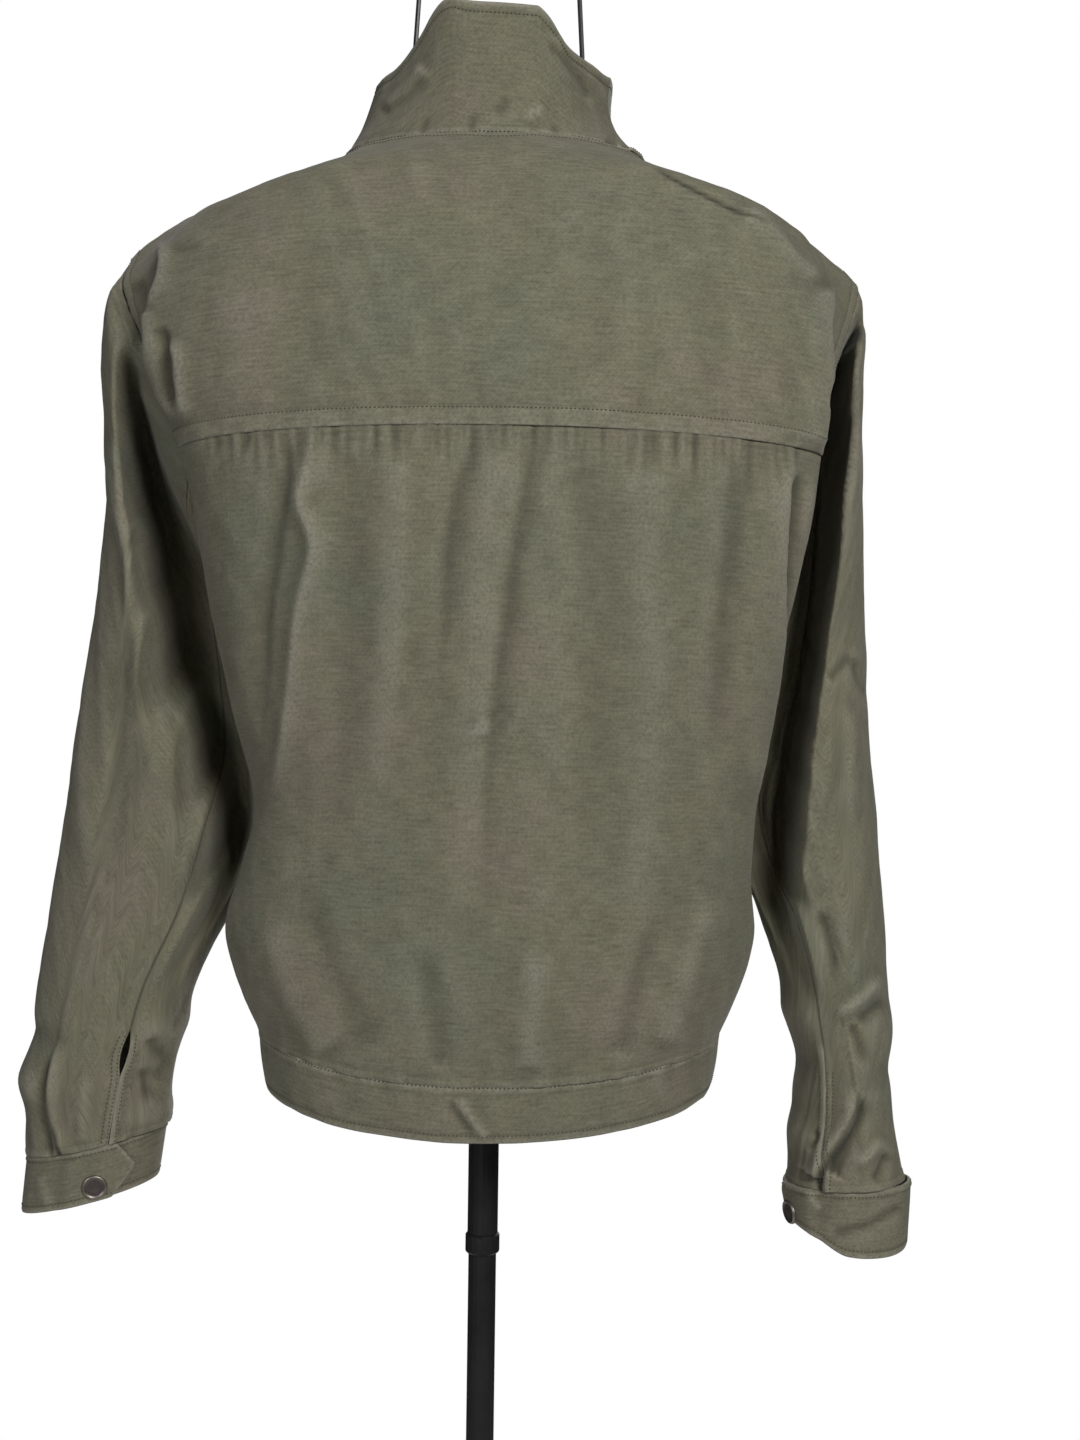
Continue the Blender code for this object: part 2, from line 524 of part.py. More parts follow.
# ------------------------------------------------------------------ the garment surface
class Surface:
    """Points and faces of the whole garment, each face marked with its piece."""

    def __init__(self):
        self.points, self.places, self.faces = [], {}, []
        self.raised = {}      # extra height of some points, on the outside of the wall only

    def point(self, p):
        key = tuple(np.round(p, 3))
        if key not in self.places:
            self.places[key] = len(self.points)
            self.points.append(np.array(p, float))
        return self.places[key]

    def add(self, piece, grid, flip=False):
        """Faces between the rows of a grid; flip turns them over."""
        grid = np.asarray(grid)
        index = [[self.point(p) for p in row] for row in grid]
        for upper, lower in zip(index[:-1], index[1:]):
            for j in range(len(upper) - 1):
                face = [upper[j], lower[j], lower[j + 1], upper[j + 1]]
                self.faces.append((piece, face[::-1] if flip else face))

    def add_stepped(self, piece, upper, lower):
        """Faces between two rows of which one has some more points than the other."""
        upper, lower = [self.point(p) for p in upper], [self.point(p) for p in lower]
        spans = min(len(upper), len(lower)) - 1
        above, below = (len(upper) - 1) // spans, (len(lower) - 1) // spans
        for j in range(spans):
            top = upper[j * above:(j + 1) * above + 1]
            bottom = lower[j * below:(j + 1) * below + 1]
            self.faces.append((piece, top[:1] + bottom + top[:0:-1]))

    def normals(self):
        """Directions out of the cloth at each point.  Where the body and another part of the
        garment meet at an angle, each has an equal say."""
        points = np.array(self.points)
        total = np.zeros_like(points)
        part_of = {"back": "body", "front": "body"}
        parts = {piece: part_of.get(piece.split("_")[0], piece.split("_")[0])
                 for piece, _ in self.faces}
        for part in sorted(set(parts.values())):
            own = np.zeros_like(points)
            for piece, face in self.faces:
                if parts[piece] != part:
                    continue
                corners = points[face]
                for k in range(1, len(face) - 1):
                    own[face] += np.cross(corners[k] - corners[0], corners[k + 1] - corners[0])
            size = np.linalg.norm(own, axis=1)[:, None]
            total += own / np.maximum(size, 1e-9)
        return total / np.maximum(np.linalg.norm(total, axis=1), 1e-9)[:, None]


def fold_height(points, normals, half):
    """How far the folds of one half lift each point out of the cloth."""
    lift = np.zeros(len(points))
    flat = points[:, [0, 2]]
    for fold in named(FOLD_COLUMNS, FOLDS):
        if fold["half"] != half:
            continue
        line = np.array([(x, 0, z) for x, z in fold["line"]], float)
        knots = np.arange(len(line), dtype=float)
        slope = slopes_through(knots, line[:, None])
        parts = [0] + [FOLD_PARTS] * (len(line) - 1)
        path = loft(knots, line[:, None], parts, slope, slope)[:, 0][:, [0, 2]]
        gap = flat[:, None] - path[None]
        near = np.linalg.norm(gap, axis=2).argmin(axis=1)
        ahead = np.gradient(path, axis=0)[near]
        offset = flat - path[near]
        distance = np.linalg.norm(offset, axis=1)
        turn = ahead[:, 0] * offset[:, 1] - ahead[:, 1] * offset[:, 0]
        reach = np.where(turn > 0, fold["right"], fold["left"])
        share = near / (len(path) - 1)
        ends = smooth(share / 0.25 + 0.15) * smooth((1 - share) / 0.25 + 0.1)
        lift += fold["height"] * np.exp(-(distance / reach) ** 2) * ends
    facing = {"back": -normals[:, 1], "front": normals[:, 1]}.get(half, -normals[:, 1])
    return lift * smooth(facing * 1.6)


def raise_folds(surface):
    """Lift the points of each half by its folds, and keep what both halves share level."""
    halves = {"back_yoke": "back", "back_panel": "back", "front_left": "front",
              "front_right": "front", "sleeve_left": "left", "sleeve_right": "right"}
    points, normals = np.array(surface.points), surface.normals()
    owner = {}
    for piece, face in surface.faces:
        half = next((halves[key] for key in halves if piece.startswith(key)), "other")
        for i in face:
            owner.setdefault(i, set()).add(half)
    for half in set(halves.values()):
        index = np.array([i for i, found in owner.items() if found == {half}])
        lift = fold_height(points[index], normals[index], half)
        points[index] += normals[index] * lift[:, None]
    surface.points = list(points)


def garment_surface():
    """Every sewn piece but the cuffs, on one surface."""
    surface = Surface()
    back, fronts = body_grids()
    table = named(BACK_COLUMNS, BACK_ROWS)
    steps = np.cumsum([row["parts"] for row in table])
    row_of = {row["name"]: steps[k] for k, row in enumerate(table)}
    yoke, underarm = row_of["yoke"], row_of["underarm"]
    add_back(surface, back, yoke)
    for side in ("left", "right"):
        surface.add("front_" + side, fronts[side], flip=side == "left")
        edge = 0 if side == "left" else -1
        ring = join(back[:underarm + 1, edge], fronts[side][underarm::-1, 0])[:-1]
        add_sleeve(surface, np.concatenate([ring, ring[:1]]), underarm + 1, side)
    half = NECK_PARTS + SHOULDER_PARTS + SIDE_PARTS
    neck_back = back[0, half - NECK_PARTS:half + NECK_PARTS + 1]
    front_neck = slice(FRONT_SHOULDER_PARTS, FRONT_SHOULDER_PARTS + FRONT_NECK_PARTS + 1)
    neck = join(fronts["right"][0, front_neck][::-1], neck_back[::-1], fronts["left"][0, front_neck])
    surface.add("collar", collar_grid(neck))
    hem = join(fronts["left"][-1][::-1], back[-1], fronts["right"][-1])
    surface.add("hem_band", band_grid(hem))
    raise_folds(surface)
    return surface


def drawn_up(row, ratio):
    """A row of the back with more points in it, and how far each is from the armholes."""
    columns = len(row) - 1
    at = np.linspace(0, columns, columns * ratio + 1)
    line = np.stack([np.interp(at, np.arange(columns + 1), row[:, k]) for k in range(3)], axis=1)
    return line, np.minimum(at, columns - at)


def add_back(surface, back, yoke):
    """The yoke, and the back panel drawn into small tucks under the yoke's lower edge."""
    ratio = max(1, round(2 * GATHERS / (back.shape[1] - 1)))
    seam, _ = drawn_up(back[yoke], ratio)
    surface.add("back_yoke", back[:yoke])
    surface.add_stepped("back_yoke", back[yoke - 1], seam)
    step = np.linalg.norm(back[yoke + 1] - back[yoke], axis=1).max()
    share = GATHER_FADE / 3 / step
    tucks, from_edge = drawn_up(back[yoke] + (back[yoke + 1] - back[yoke]) * share, ratio)
    count = np.arange(len(tucks))
    tuck = np.where(count % 2 == 1, 1.0, -0.6) * (0.75 + 0.25 * np.sin(count * 1.7))
    surface.add("back_panel", [seam, tucks])
    for place, height in zip(tucks, GATHER_DEPTH * tuck * smooth(from_edge / 3)):
        surface.raised[surface.point(place)] = height
    surface.add_stepped("back_panel", tucks, back[yoke + 1])
    surface.add("back_panel", back[yoke + 1:])


def add_sleeve(surface, ring, half_count, side):
    """A sleeve in two pieces, parted at the back and front seams."""
    grid, angles = sleeve_grid(ring, half_count, side)
    back_seam = int(np.abs(angles - SLEEVE_SEAM_BACK).argmin())
    front_seam = int(np.abs(angles - SLEEVE_SEAM_FRONT).argmin())
    under = grid[:, back_seam:front_seam + 1].copy()
    upper = np.concatenate([grid[:, front_seam:-1], grid[:, :back_seam + 1]], axis=1).copy()
    low = grid[:, back_seam, 2] < SLIT_TOP
    heights = grid[low, back_seam, 2]
    down = (SLIT_TOP - heights) / (SLIT_TOP - heights[-1])
    open_by = SLIT_GAP / 2 * np.maximum(np.sin(np.pi * down), 0.3)
    for piece, edge, inner in ((under, 0, 1), (upper, -1, -2)):
        away = piece[low, inner] - piece[low, edge]
        away /= np.linalg.norm(away, axis=1)[:, None]
        piece[low, edge] += away * open_by[:, None]
    flip = side == "right"
    surface.add("sleeve_%s_upper" % side, upper, flip=flip)
    surface.add("sleeve_%s_under" % side, under, flip=flip)


# ------------------------------------------------------------------ solids
def material(name, colour, roughness, metallic=0.0):
    found = bpy.data.materials.get(name)
    if found:
        return found
    made = bpy.data.materials.new(name)
    made.use_nodes = True
    shader = made.node_tree.nodes["Principled BSDF"]
    shader.inputs["Base Color"].default_value = colour
    shader.inputs["Roughness"].default_value = roughness
    shader.inputs["Metallic"].default_value = metallic
    return made


def add_object(name, bm, finish, smooth_shade=True):
    mesh = bpy.data.meshes.new(name)
    bm.to_mesh(mesh)
    bm.free()
    mesh.materials.append(finish)
    if smooth_shade:
        mesh.shade_smooth()
        mesh.set_sharp_from_angle(angle=math.radians(40))
    made = bpy.data.objects.new(name, mesh)
    bpy.context.scene.collection.objects.link(made)
    return made


def cloth_finish():
    return material("olive_twill", CLOTH_COLOUR, 0.85)


def wall_of(name, surface, finish):
    """A wall under the faces of one piece, drawn back from its edges by half the seam gap."""
    points, normals = np.array(surface.points), surface.normals()
    faces = [face for piece, face in surface.faces if piece == name]
    used = sorted({i for face in faces for i in face})
    local = {i: k for k, i in enumerate(used)}
    outer = points[used].copy()
    out = normals[used]
    edges = {}
    for face in faces:
        for a, b in zip(face, face[1:] + face[:1]):
            edges[(a, b)] = edges.get((a, b), 0) + 1
    rim = [(a, b) for a, b in edges if (b, a) not in edges]
    shift = np.zeros_like(outer)
    for a, b in rim:
        along = points[b] - points[a]
        along /= np.linalg.norm(along)
        for i in (a, b):
            shift[local[i]] += np.cross(normals[i], along)
    size = np.linalg.norm(shift, axis=1)
    moved = size > 0
    outer[moved] += shift[moved] / size[moved, None] * (SEAM_GAP / 2 + 0.05)
    inner = outer - out * WALL
    outer += out * np.array([surface.raised.get(i, 0.0) for i in used])[:, None]
    bm = bmesh.new()
    outside = [bm.verts.new(Vector(p * MM)) for p in outer]
    inside = [bm.verts.new(Vector(p * MM)) for p in inner]
    for face in faces:
        bm.faces.new([outside[local[i]] for i in face])
        bm.faces.new([inside[local[i]] for i in reversed(face)])
    for a, b in rim:
        bm.faces.new([outside[local[b]], outside[local[a]], inside[local[a]], inside[local[b]]])
    bmesh.ops.triangulate(bm, faces=bm.faces)
    return add_object(name, bm, finish)


def build_garment():
    surface = garment_surface()
    for name in dict.fromkeys(piece for piece, _ in surface.faces):
        wall_of(name, surface, cloth_finish())


def build_cuff(side):
    surface = Surface()
    name = "cuff_" + side
    surface.add(name, cuff_grid(side), flip=side == "right")
    wall_of(name, surface, cloth_finish())


def turned(name, profile, sides, place, axis, finish):
    """A solid of revolution: (radius, height) points from the axis to the axis."""
    bm = bmesh.new()
    chain = [bm.verts.new((radius * MM, 0, height * MM)) for radius, height in profile]
    edges = [bm.edges.new(pair) for pair in zip(chain[:-1], chain[1:])]
    bmesh.ops.spin(bm, geom=chain + edges, cent=(0, 0, 0), axis=(0, 0, 1), angle=2 * math.pi,
                   steps=sides, use_merge=True)
    bmesh.ops.remove_doubles(bm, verts=bm.verts, dist=1e-6)
    bmesh.ops.recalc_face_normals(bm, faces=bm.faces)
    turn = Vector((0, 0, 1)).rotation_difference(Vector(axis)).to_matrix().to_4x4()
    bm.transform(Matrix.Translation(Vector(place) * MM) @ turn)
    return add_object(name, bm, finish)


def snap(name, place, axis):
    """A snap cap: a low dished disc, just clear of the cloth under it."""
    r, h = SNAP_RADIUS, SNAP_HEIGHT
    profile = ((0, 0), (r * 0.9, 0), (r, h * 0.4), (r * 0.9, h), (r * 0.72, h), (r * 0.62, h * 0.75),
               (0, h * 0.8))
    gunmetal = material("gunmetal", METAL_COLOUR, 0.35, 1.0)
    turned(name, profile, 14, Vector(place) + Vector(axis) * 0.4, axis, gunmetal)


def nearest_on(name, target, direction):
    """Where a line along direction first meets a piece's outer surface, and its normal there."""
    bpy.context.view_layer.update()
    piece = bpy.data.objects[name]
    start = (Vector(target) - Vector(direction) * 80) * MM
    hit, place, normal, _ = piece.ray_cast(start, Vector(direction))
    if not hit:
        raise RuntimeError("nothing of %s lies at %s" % (name, target))
    return place / MM, normal


def build_snaps():
    for k, height in enumerate(FRONT_SNAP_HEIGHTS):
        place, normal = nearest_on("front_right", (0, 100, height), (0, -1, 0))
        snap("snap_front_%d" % (k + 1), place, normal)
    place, normal = nearest_on("hem_band", BAND_SNAP_AT, (0, -1, 0))
    snap("snap_band", place, normal)
    for side, target, direction in CUFF_SNAPS:
        direction = Vector(direction).normalized()
        place, normal = nearest_on("cuff_" + side, target, direction)
        snap("snap_cuff_" + side, place, normal)


def build_form():
    """The dress form: a limbless trunk, smooth and closed, through its sections."""
    bm = bmesh.new()
    rings = []
    for z, half, y_back, y_front in FORM_SECTIONS:
        ring = []
        for k in range(FORM_SIDES):
            turn = 2 * math.pi * k / FORM_SIDES
            c, s = math.cos(turn), math.sin(turn)
            x = half * math.copysign(abs(c) ** 0.9, c)
            y = (y_front if s > 0 else -y_back) * math.copysign(abs(s) ** 0.95, s)
            ring.append(bm.verts.new((x * MM, y * MM, z * MM)))
        rings.append(ring)
    for low, high in zip(rings[:-1], rings[1:]):
        for k in range(FORM_SIDES):
            n = (k + 1) % FORM_SIDES
            bm.faces.new((low[k], low[n], high[n], high[k]))
    bm.faces.new(rings[0][::-1])
    bm.faces.new(rings[-1])
    add_object("dress_form", bm, material("form_cover", FORM_COLOUR, 0.8))


def tube(name, line, radius, sides, finish):
    """A round bar along a line of points in the XZ plane, with closed ends."""
    bm = bmesh.new()
    rings = []
    for k, point in enumerate(line):
        along = Vector(line[min(k + 1, len(line) - 1)]) - Vector(line[max(k - 1, 0)])
        along.normalize()
        side = Vector((0, 1, 0)).cross(along).normalized()
        ring = []
        for i in range(sides):
            turn = 2 * math.pi * i / sides
            spoke = math.cos(turn) * side + math.sin(turn) * Vector((0, 1, 0))
            spot = Vector(point) + radius * spoke
            ring.append(bm.verts.new(spot * MM))
        rings.append(ring)
    for low, high in zip(rings[:-1], rings[1:]):
        for i in range(sides):
            bm.faces.new((low[i], low[(i + 1) % sides], high[(i + 1) % sides], high[i]))
    bm.faces.new(rings[0][::-1])
    bm.faces.new(rings[-1])
    bmesh.ops.recalc_face_normals(bm, faces=bm.faces)
    return add_object(name, bm, finish)


def build_stand():
    """The foot, the pole in two lengths with its coupling, and the wire loop on the neck."""
    black = material("black_lacquer", STAND_COLOUR, 0.3)
    form_bottom, neck_top = FORM_SECTIONS[0][0], FORM_SECTIONS[-1][0]
    gap = SEAM_GAP
    r, h = FOOT_RADIUS, FOOT_HEIGHT
    turned("foot", ((0, 0), (r - 2, 0), (r, 2), (r, h - 3), (r - 4, h), (0, h)), 48, (0, 0, 0),
           (0, 0, 1), black)
    turned("hub", ((0, h + gap), (HUB_RADIUS, h + gap), (HUB_RADIUS, HUB_TOP - 4),
                   (HUB_RADIUS - 4, HUB_TOP), (0, HUB_TOP)), 24, (0, 0, 0), (0, 0, 1), black)
    turned("pole_lower", ((0, HUB_TOP + gap), (POLE_RADIUS_LOW, HUB_TOP + gap),
                          (POLE_RADIUS_LOW, COUPLING_LOW - gap), (0, COUPLING_LOW - gap)), 20,
           (0, 0, 0), (0, 0, 1), black)
    c, low, high = COUPLING_RADIUS, COUPLING_LOW, COUPLING_HIGH
    turned("pole_coupling", ((0, low), (c - 1, low), (c, low + 1), (c, high - 1), (c - 1, high),
                             (0, high)), 20, (0, 0, 0), (0, 0, 1), black)
    turned("pole_upper", ((0, high + gap), (POLE_RADIUS_HIGH, high + gap),
                          (POLE_RADIUS_HIGH, form_bottom - gap), (0, form_bottom - gap)), 20,
           (0, 0, 0), (0, 0, 1), black)
    top = WIRE_ARCH
    right = [(WIRE_FOOT - 2, 0, neck_top + gap), (WIRE_FOOT - 2, 0, neck_top + 40)]
    right += [(WIRE_HALF_TOP * math.cos(a), 0, top + WIRE_HALF_TOP * 0.6 * math.sin(a))
              for a in np.radians(np.arange(0, 90, 15))]
    line = right + [(0, 0, top + WIRE_HALF_TOP * 0.6)] + [(-x, y, z) for x, y, z in right[::-1]]
    tube("wire_loop", line, WIRE_RADIUS, 8, black)


def main():
    for old in list(bpy.data.objects):
        bpy.data.objects.remove(old, do_unlink=True)
    build_garment()
    for side in ("left", "right"):
        build_cuff(side)
    build_snaps()
    build_form()
    build_stand()


main()
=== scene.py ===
# %% [markdown]
# # A utility jacket, seen from the back, on a dress form with a stand
# The jacket is sewn from a dozen pieces of olive twill.  Each piece of cloth is made here on the
# same surface as its solid in the frame, but with its folds, gathers, seams and stitches.  The
# frame is loaded first, because every piece has to lie on its own solid.

# %% The frame
import math

import bmesh
import bpy
import numpy as np
from mathutils import Matrix, Vector


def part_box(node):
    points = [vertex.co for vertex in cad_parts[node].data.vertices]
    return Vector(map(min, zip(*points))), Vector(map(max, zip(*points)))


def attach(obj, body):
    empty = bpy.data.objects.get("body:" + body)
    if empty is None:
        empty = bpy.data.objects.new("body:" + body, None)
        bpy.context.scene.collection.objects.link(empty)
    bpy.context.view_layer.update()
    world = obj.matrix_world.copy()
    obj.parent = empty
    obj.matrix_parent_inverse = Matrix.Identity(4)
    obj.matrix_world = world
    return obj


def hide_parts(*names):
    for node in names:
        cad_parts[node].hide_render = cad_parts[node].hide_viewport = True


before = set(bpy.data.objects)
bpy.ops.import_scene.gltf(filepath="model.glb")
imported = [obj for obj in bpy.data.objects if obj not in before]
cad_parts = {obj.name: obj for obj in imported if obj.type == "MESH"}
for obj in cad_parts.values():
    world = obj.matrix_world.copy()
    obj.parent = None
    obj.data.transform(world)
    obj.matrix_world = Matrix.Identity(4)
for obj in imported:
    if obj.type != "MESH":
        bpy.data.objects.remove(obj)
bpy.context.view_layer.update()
MM = 0.001
SIDES = ("left", "right")
print("solids:", len(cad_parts))


def in_scene(name, data):
    """A new object with this data, put into the scene."""
    made = bpy.data.objects.new(name, data)
    bpy.context.scene.collection.objects.link(made)
    return made


def mesh_from(name, bm):
    """A mesh of what bmesh has built."""
    mesh = bpy.data.meshes.new(name)
    bm.to_mesh(mesh)
    bm.free()
    return mesh


# %% [markdown]
# ## The camera
# The photograph was taken from about a metre behind the jacket, level with the chest, with the
# phone turned by less than a degree.  A camera with the same distance and lens gives the same
# perspective: the near cuffs look larger and the shoulders seem to lean away.  The same numbers
# also say where a point of the cloth shows on the photograph, so folds can be placed on the
# picture where they are seen.

# %% Camera
CAMERA_AT = Vector((0.0314, -1.05, 1.059))
CAMERA_ROLL = math.radians(-0.78)
LENS = 42.2
PHOTO_WIDTH, PHOTO_HEIGHT, SENSOR = 1080, 1440, 36.0

view_camera = bpy.data.cameras.new("photo_camera")
view_camera.lens, view_camera.sensor_width = LENS, SENSOR
camera = in_scene("photo_camera", view_camera)
camera.matrix_world = (Matrix.Translation(CAMERA_AT) @ Matrix.Rotation(CAMERA_ROLL, 4, "Y")
                       @ Matrix.Rotation(math.radians(90), 4, "X"))
bpy.context.scene.camera = camera


def on_photo(points):
    """Where points of the jacket, in millimetres, show on the photograph, in its pixels."""
    ahead = points * MM - np.array(CAMERA_AT)
    focal = LENS / SENSOR * PHOTO_HEIGHT
    right, up = ahead[..., 0] / ahead[..., 1] * focal, ahead[..., 2] / ahead[..., 1] * focal
    c, s = math.cos(CAMERA_ROLL), math.sin(-CAMERA_ROLL)
    return np.stack([PHOTO_WIDTH / 2 + right * c + up * s,
                     PHOTO_HEIGHT / 2 + right * s - up * c], axis=-1)


# %% [markdown]
# ## Soft studio light on a pale floor
# The photograph has flat, soft light from beside the camera, and the insides of the sleeves fall
# into deep shade.  Two soft area lights beside the camera do that, and a third one behind the jacket
# is for views from the front.  The world is white where the camera looks at it and dimmer where it
# only lights the cloth, so that the shade stays deep.

# %% Lights, world and floor
def soft_light(name, place, aim, size, watts, tint=(1.0, 1.0, 1.0)):
    """A square area light that points at aim."""
    light = bpy.data.lights.new(name, "AREA")
    light.size, light.energy, light.color = size, watts, tint
    lamp = in_scene(name, light)
    lamp.location = place
    lamp.rotation_mode = "QUATERNION"
    lamp.rotation_quaternion = (Vector(place) - Vector(aim)).to_track_quat("Z", "Y")


soft_light("key_light", (1.05, -1.95, 2.1), (0, 0, 1.15), 0.8, 42, (1.0, 0.99, 0.965))
soft_light("fill_light", (-1.3, -2.1, 1.5), (0, 0, 1.05), 1.0, 18, (0.98, 0.99, 1.0))
soft_light("front_light", (0.6, 2.4, 1.8), (0, 0, 1.1), 1.2, 34)
AMBIENT = 0.035

sky = bpy.data.worlds.new("studio")
bpy.context.scene.world = sky
sky.use_nodes = True
sky_nodes, sky_links = sky.node_tree.nodes, sky.node_tree.links
seen_ray = sky_nodes.new("ShaderNodeLightPath")
brightness = sky_nodes.new("ShaderNodeMapRange")
brightness.inputs["To Min"].default_value, brightness.inputs["To Max"].default_value = AMBIENT, 1.0
sky_links.new(seen_ray.outputs["Is Camera Ray"], brightness.inputs["Value"])
sky_links.new(brightness.outputs["Result"], sky_nodes["Background"].inputs["Strength"])
sky_nodes["Background"].inputs["Color"].default_value = (1, 1, 1, 1)
bpy.context.scene.view_settings.view_transform = "Standard"

bm = bmesh.new()
bmesh.ops.create_circle(bm, cap_ends=True, segments=96, radius=1.2)
floor_mesh = mesh_from("studio_floor", bm)
studio_floor = in_scene("studio_floor", floor_mesh)

# %% [markdown]
# ## Helpers for materials
# Colours are written as the hex values that a paint program shows and turned to Blender's linear
# values by one function.  A second function adds a node with its settings and links, and three more
# make what several materials need: a colour between two others, a fine relief and an uneven gloss.

# %% Colour and node helpers
def linear(hex_colour):
    """An sRGB hex colour as linear red, green, blue and alpha."""
    parts = [int(hex_colour[i:i + 2], 16) / 255 for i in (1, 3, 5)]
    return [p / 12.92 if p <= 0.04045 else ((p + 0.055) / 1.055) ** 2.4 for p in parts] + [1.0]


def add_node(tree, kind, settings=None, values=None, links=None):
    """A node with its settings, its socket values, and its inputs linked from sockets."""
    made = tree.nodes.new("ShaderNode" + kind)
    for key, value in (settings or {}).items():
        setattr(made, key, value)
    for key, value in (values or {}).items():
        made.inputs[key].default_value = value
    for key, source in (links or {}).items():
        tree.links.new(source, made.inputs[key])
    return made


def new_material(name, **values):
    """A Principled material and its node tree."""
    made = bpy.data.materials.new(name)
    made.use_nodes = True
    shader = made.node_tree.nodes["Principled BSDF"]
    for key, value in values.items():
        shader.inputs[key.replace("_", " ")].default_value = value
    return made, made.node_tree, shader


def mixed(tree, amount, low, high):
    """A colour between two others by an amount; each is a hex colour or a socket."""
    made = add_node(tree, "Mix", {"data_type": "RGBA"}, links={0: amount})
    for key, colour in ((6, low), (7, high)):
        if isinstance(colour, str):
            made.inputs[key].default_value = linear(colour)
        else:
            tree.links.new(colour, made.inputs[key])
    return made.outputs[2]


def add_relief(tree, shader, height, strength, depth):
    """Relief too fine for the mesh, so many millimetres deep."""
    bump = add_node(tree, "Bump", values={"Strength": strength, "Distance": depth * MM},
                    links={"Height": height})
    tree.links.new(bump.outputs["Normal"], shader.inputs["Normal"])


def add_gloss(tree, shader, source, low, high):
    """Roughness between two values, by a noise."""
    gloss = add_node(tree, "MapRange", values={"To Min": low, "To Max": high},
                     links={"Value": source.outputs["Fac"]})
    tree.links.new(gloss.outputs["Result"], shader.inputs["Roughness"])


# %% [markdown]
# ## Olive lyocell twill
# The cloth is a light twill with a washed, peach-skin face: matt, with a soft bloom where it turns
# away, and slightly uneven in tone.  Its diagonal rib is about 0.6 mm wide in the real cloth, which
# a picture of this size can't show, so it is drawn three times as wide.  Thicker weft threads run
# across it as faint level streaks.  The pattern follows each piece's own UV map, in
# metres, so the rib turns with the cloth.  Folded edges and seams are abraded paler: each piece
# carries a wear value for that, which holds painted shading as well.  Below zero it is painted shade
# in creases, gathers, seam grooves and hollows, and on fold ridges it adds a painted highlight.

# %% Twill
TWILL_PITCH = 1.9                   # mm from rib to rib, three times the real one
SLUB_LENGTH, SLUB_PITCH = 17.0, 1.5  # mm along and across a thick weft thread
GRAIN = 2.2                         # mm between the specks where single threads show
# The darkest tone is painted shade for creases, gathers, seam grooves and hollows; the palest is for
# abraded edges and seams and a painted highlight on fold ridges.
CLOTH_TONES = {"olive": "#726F5D", "brown": "#767061", "green": "#6C6D5C", "rubbed_and_lit": "#9C998B",
               "painted_shade": "#35342B"}


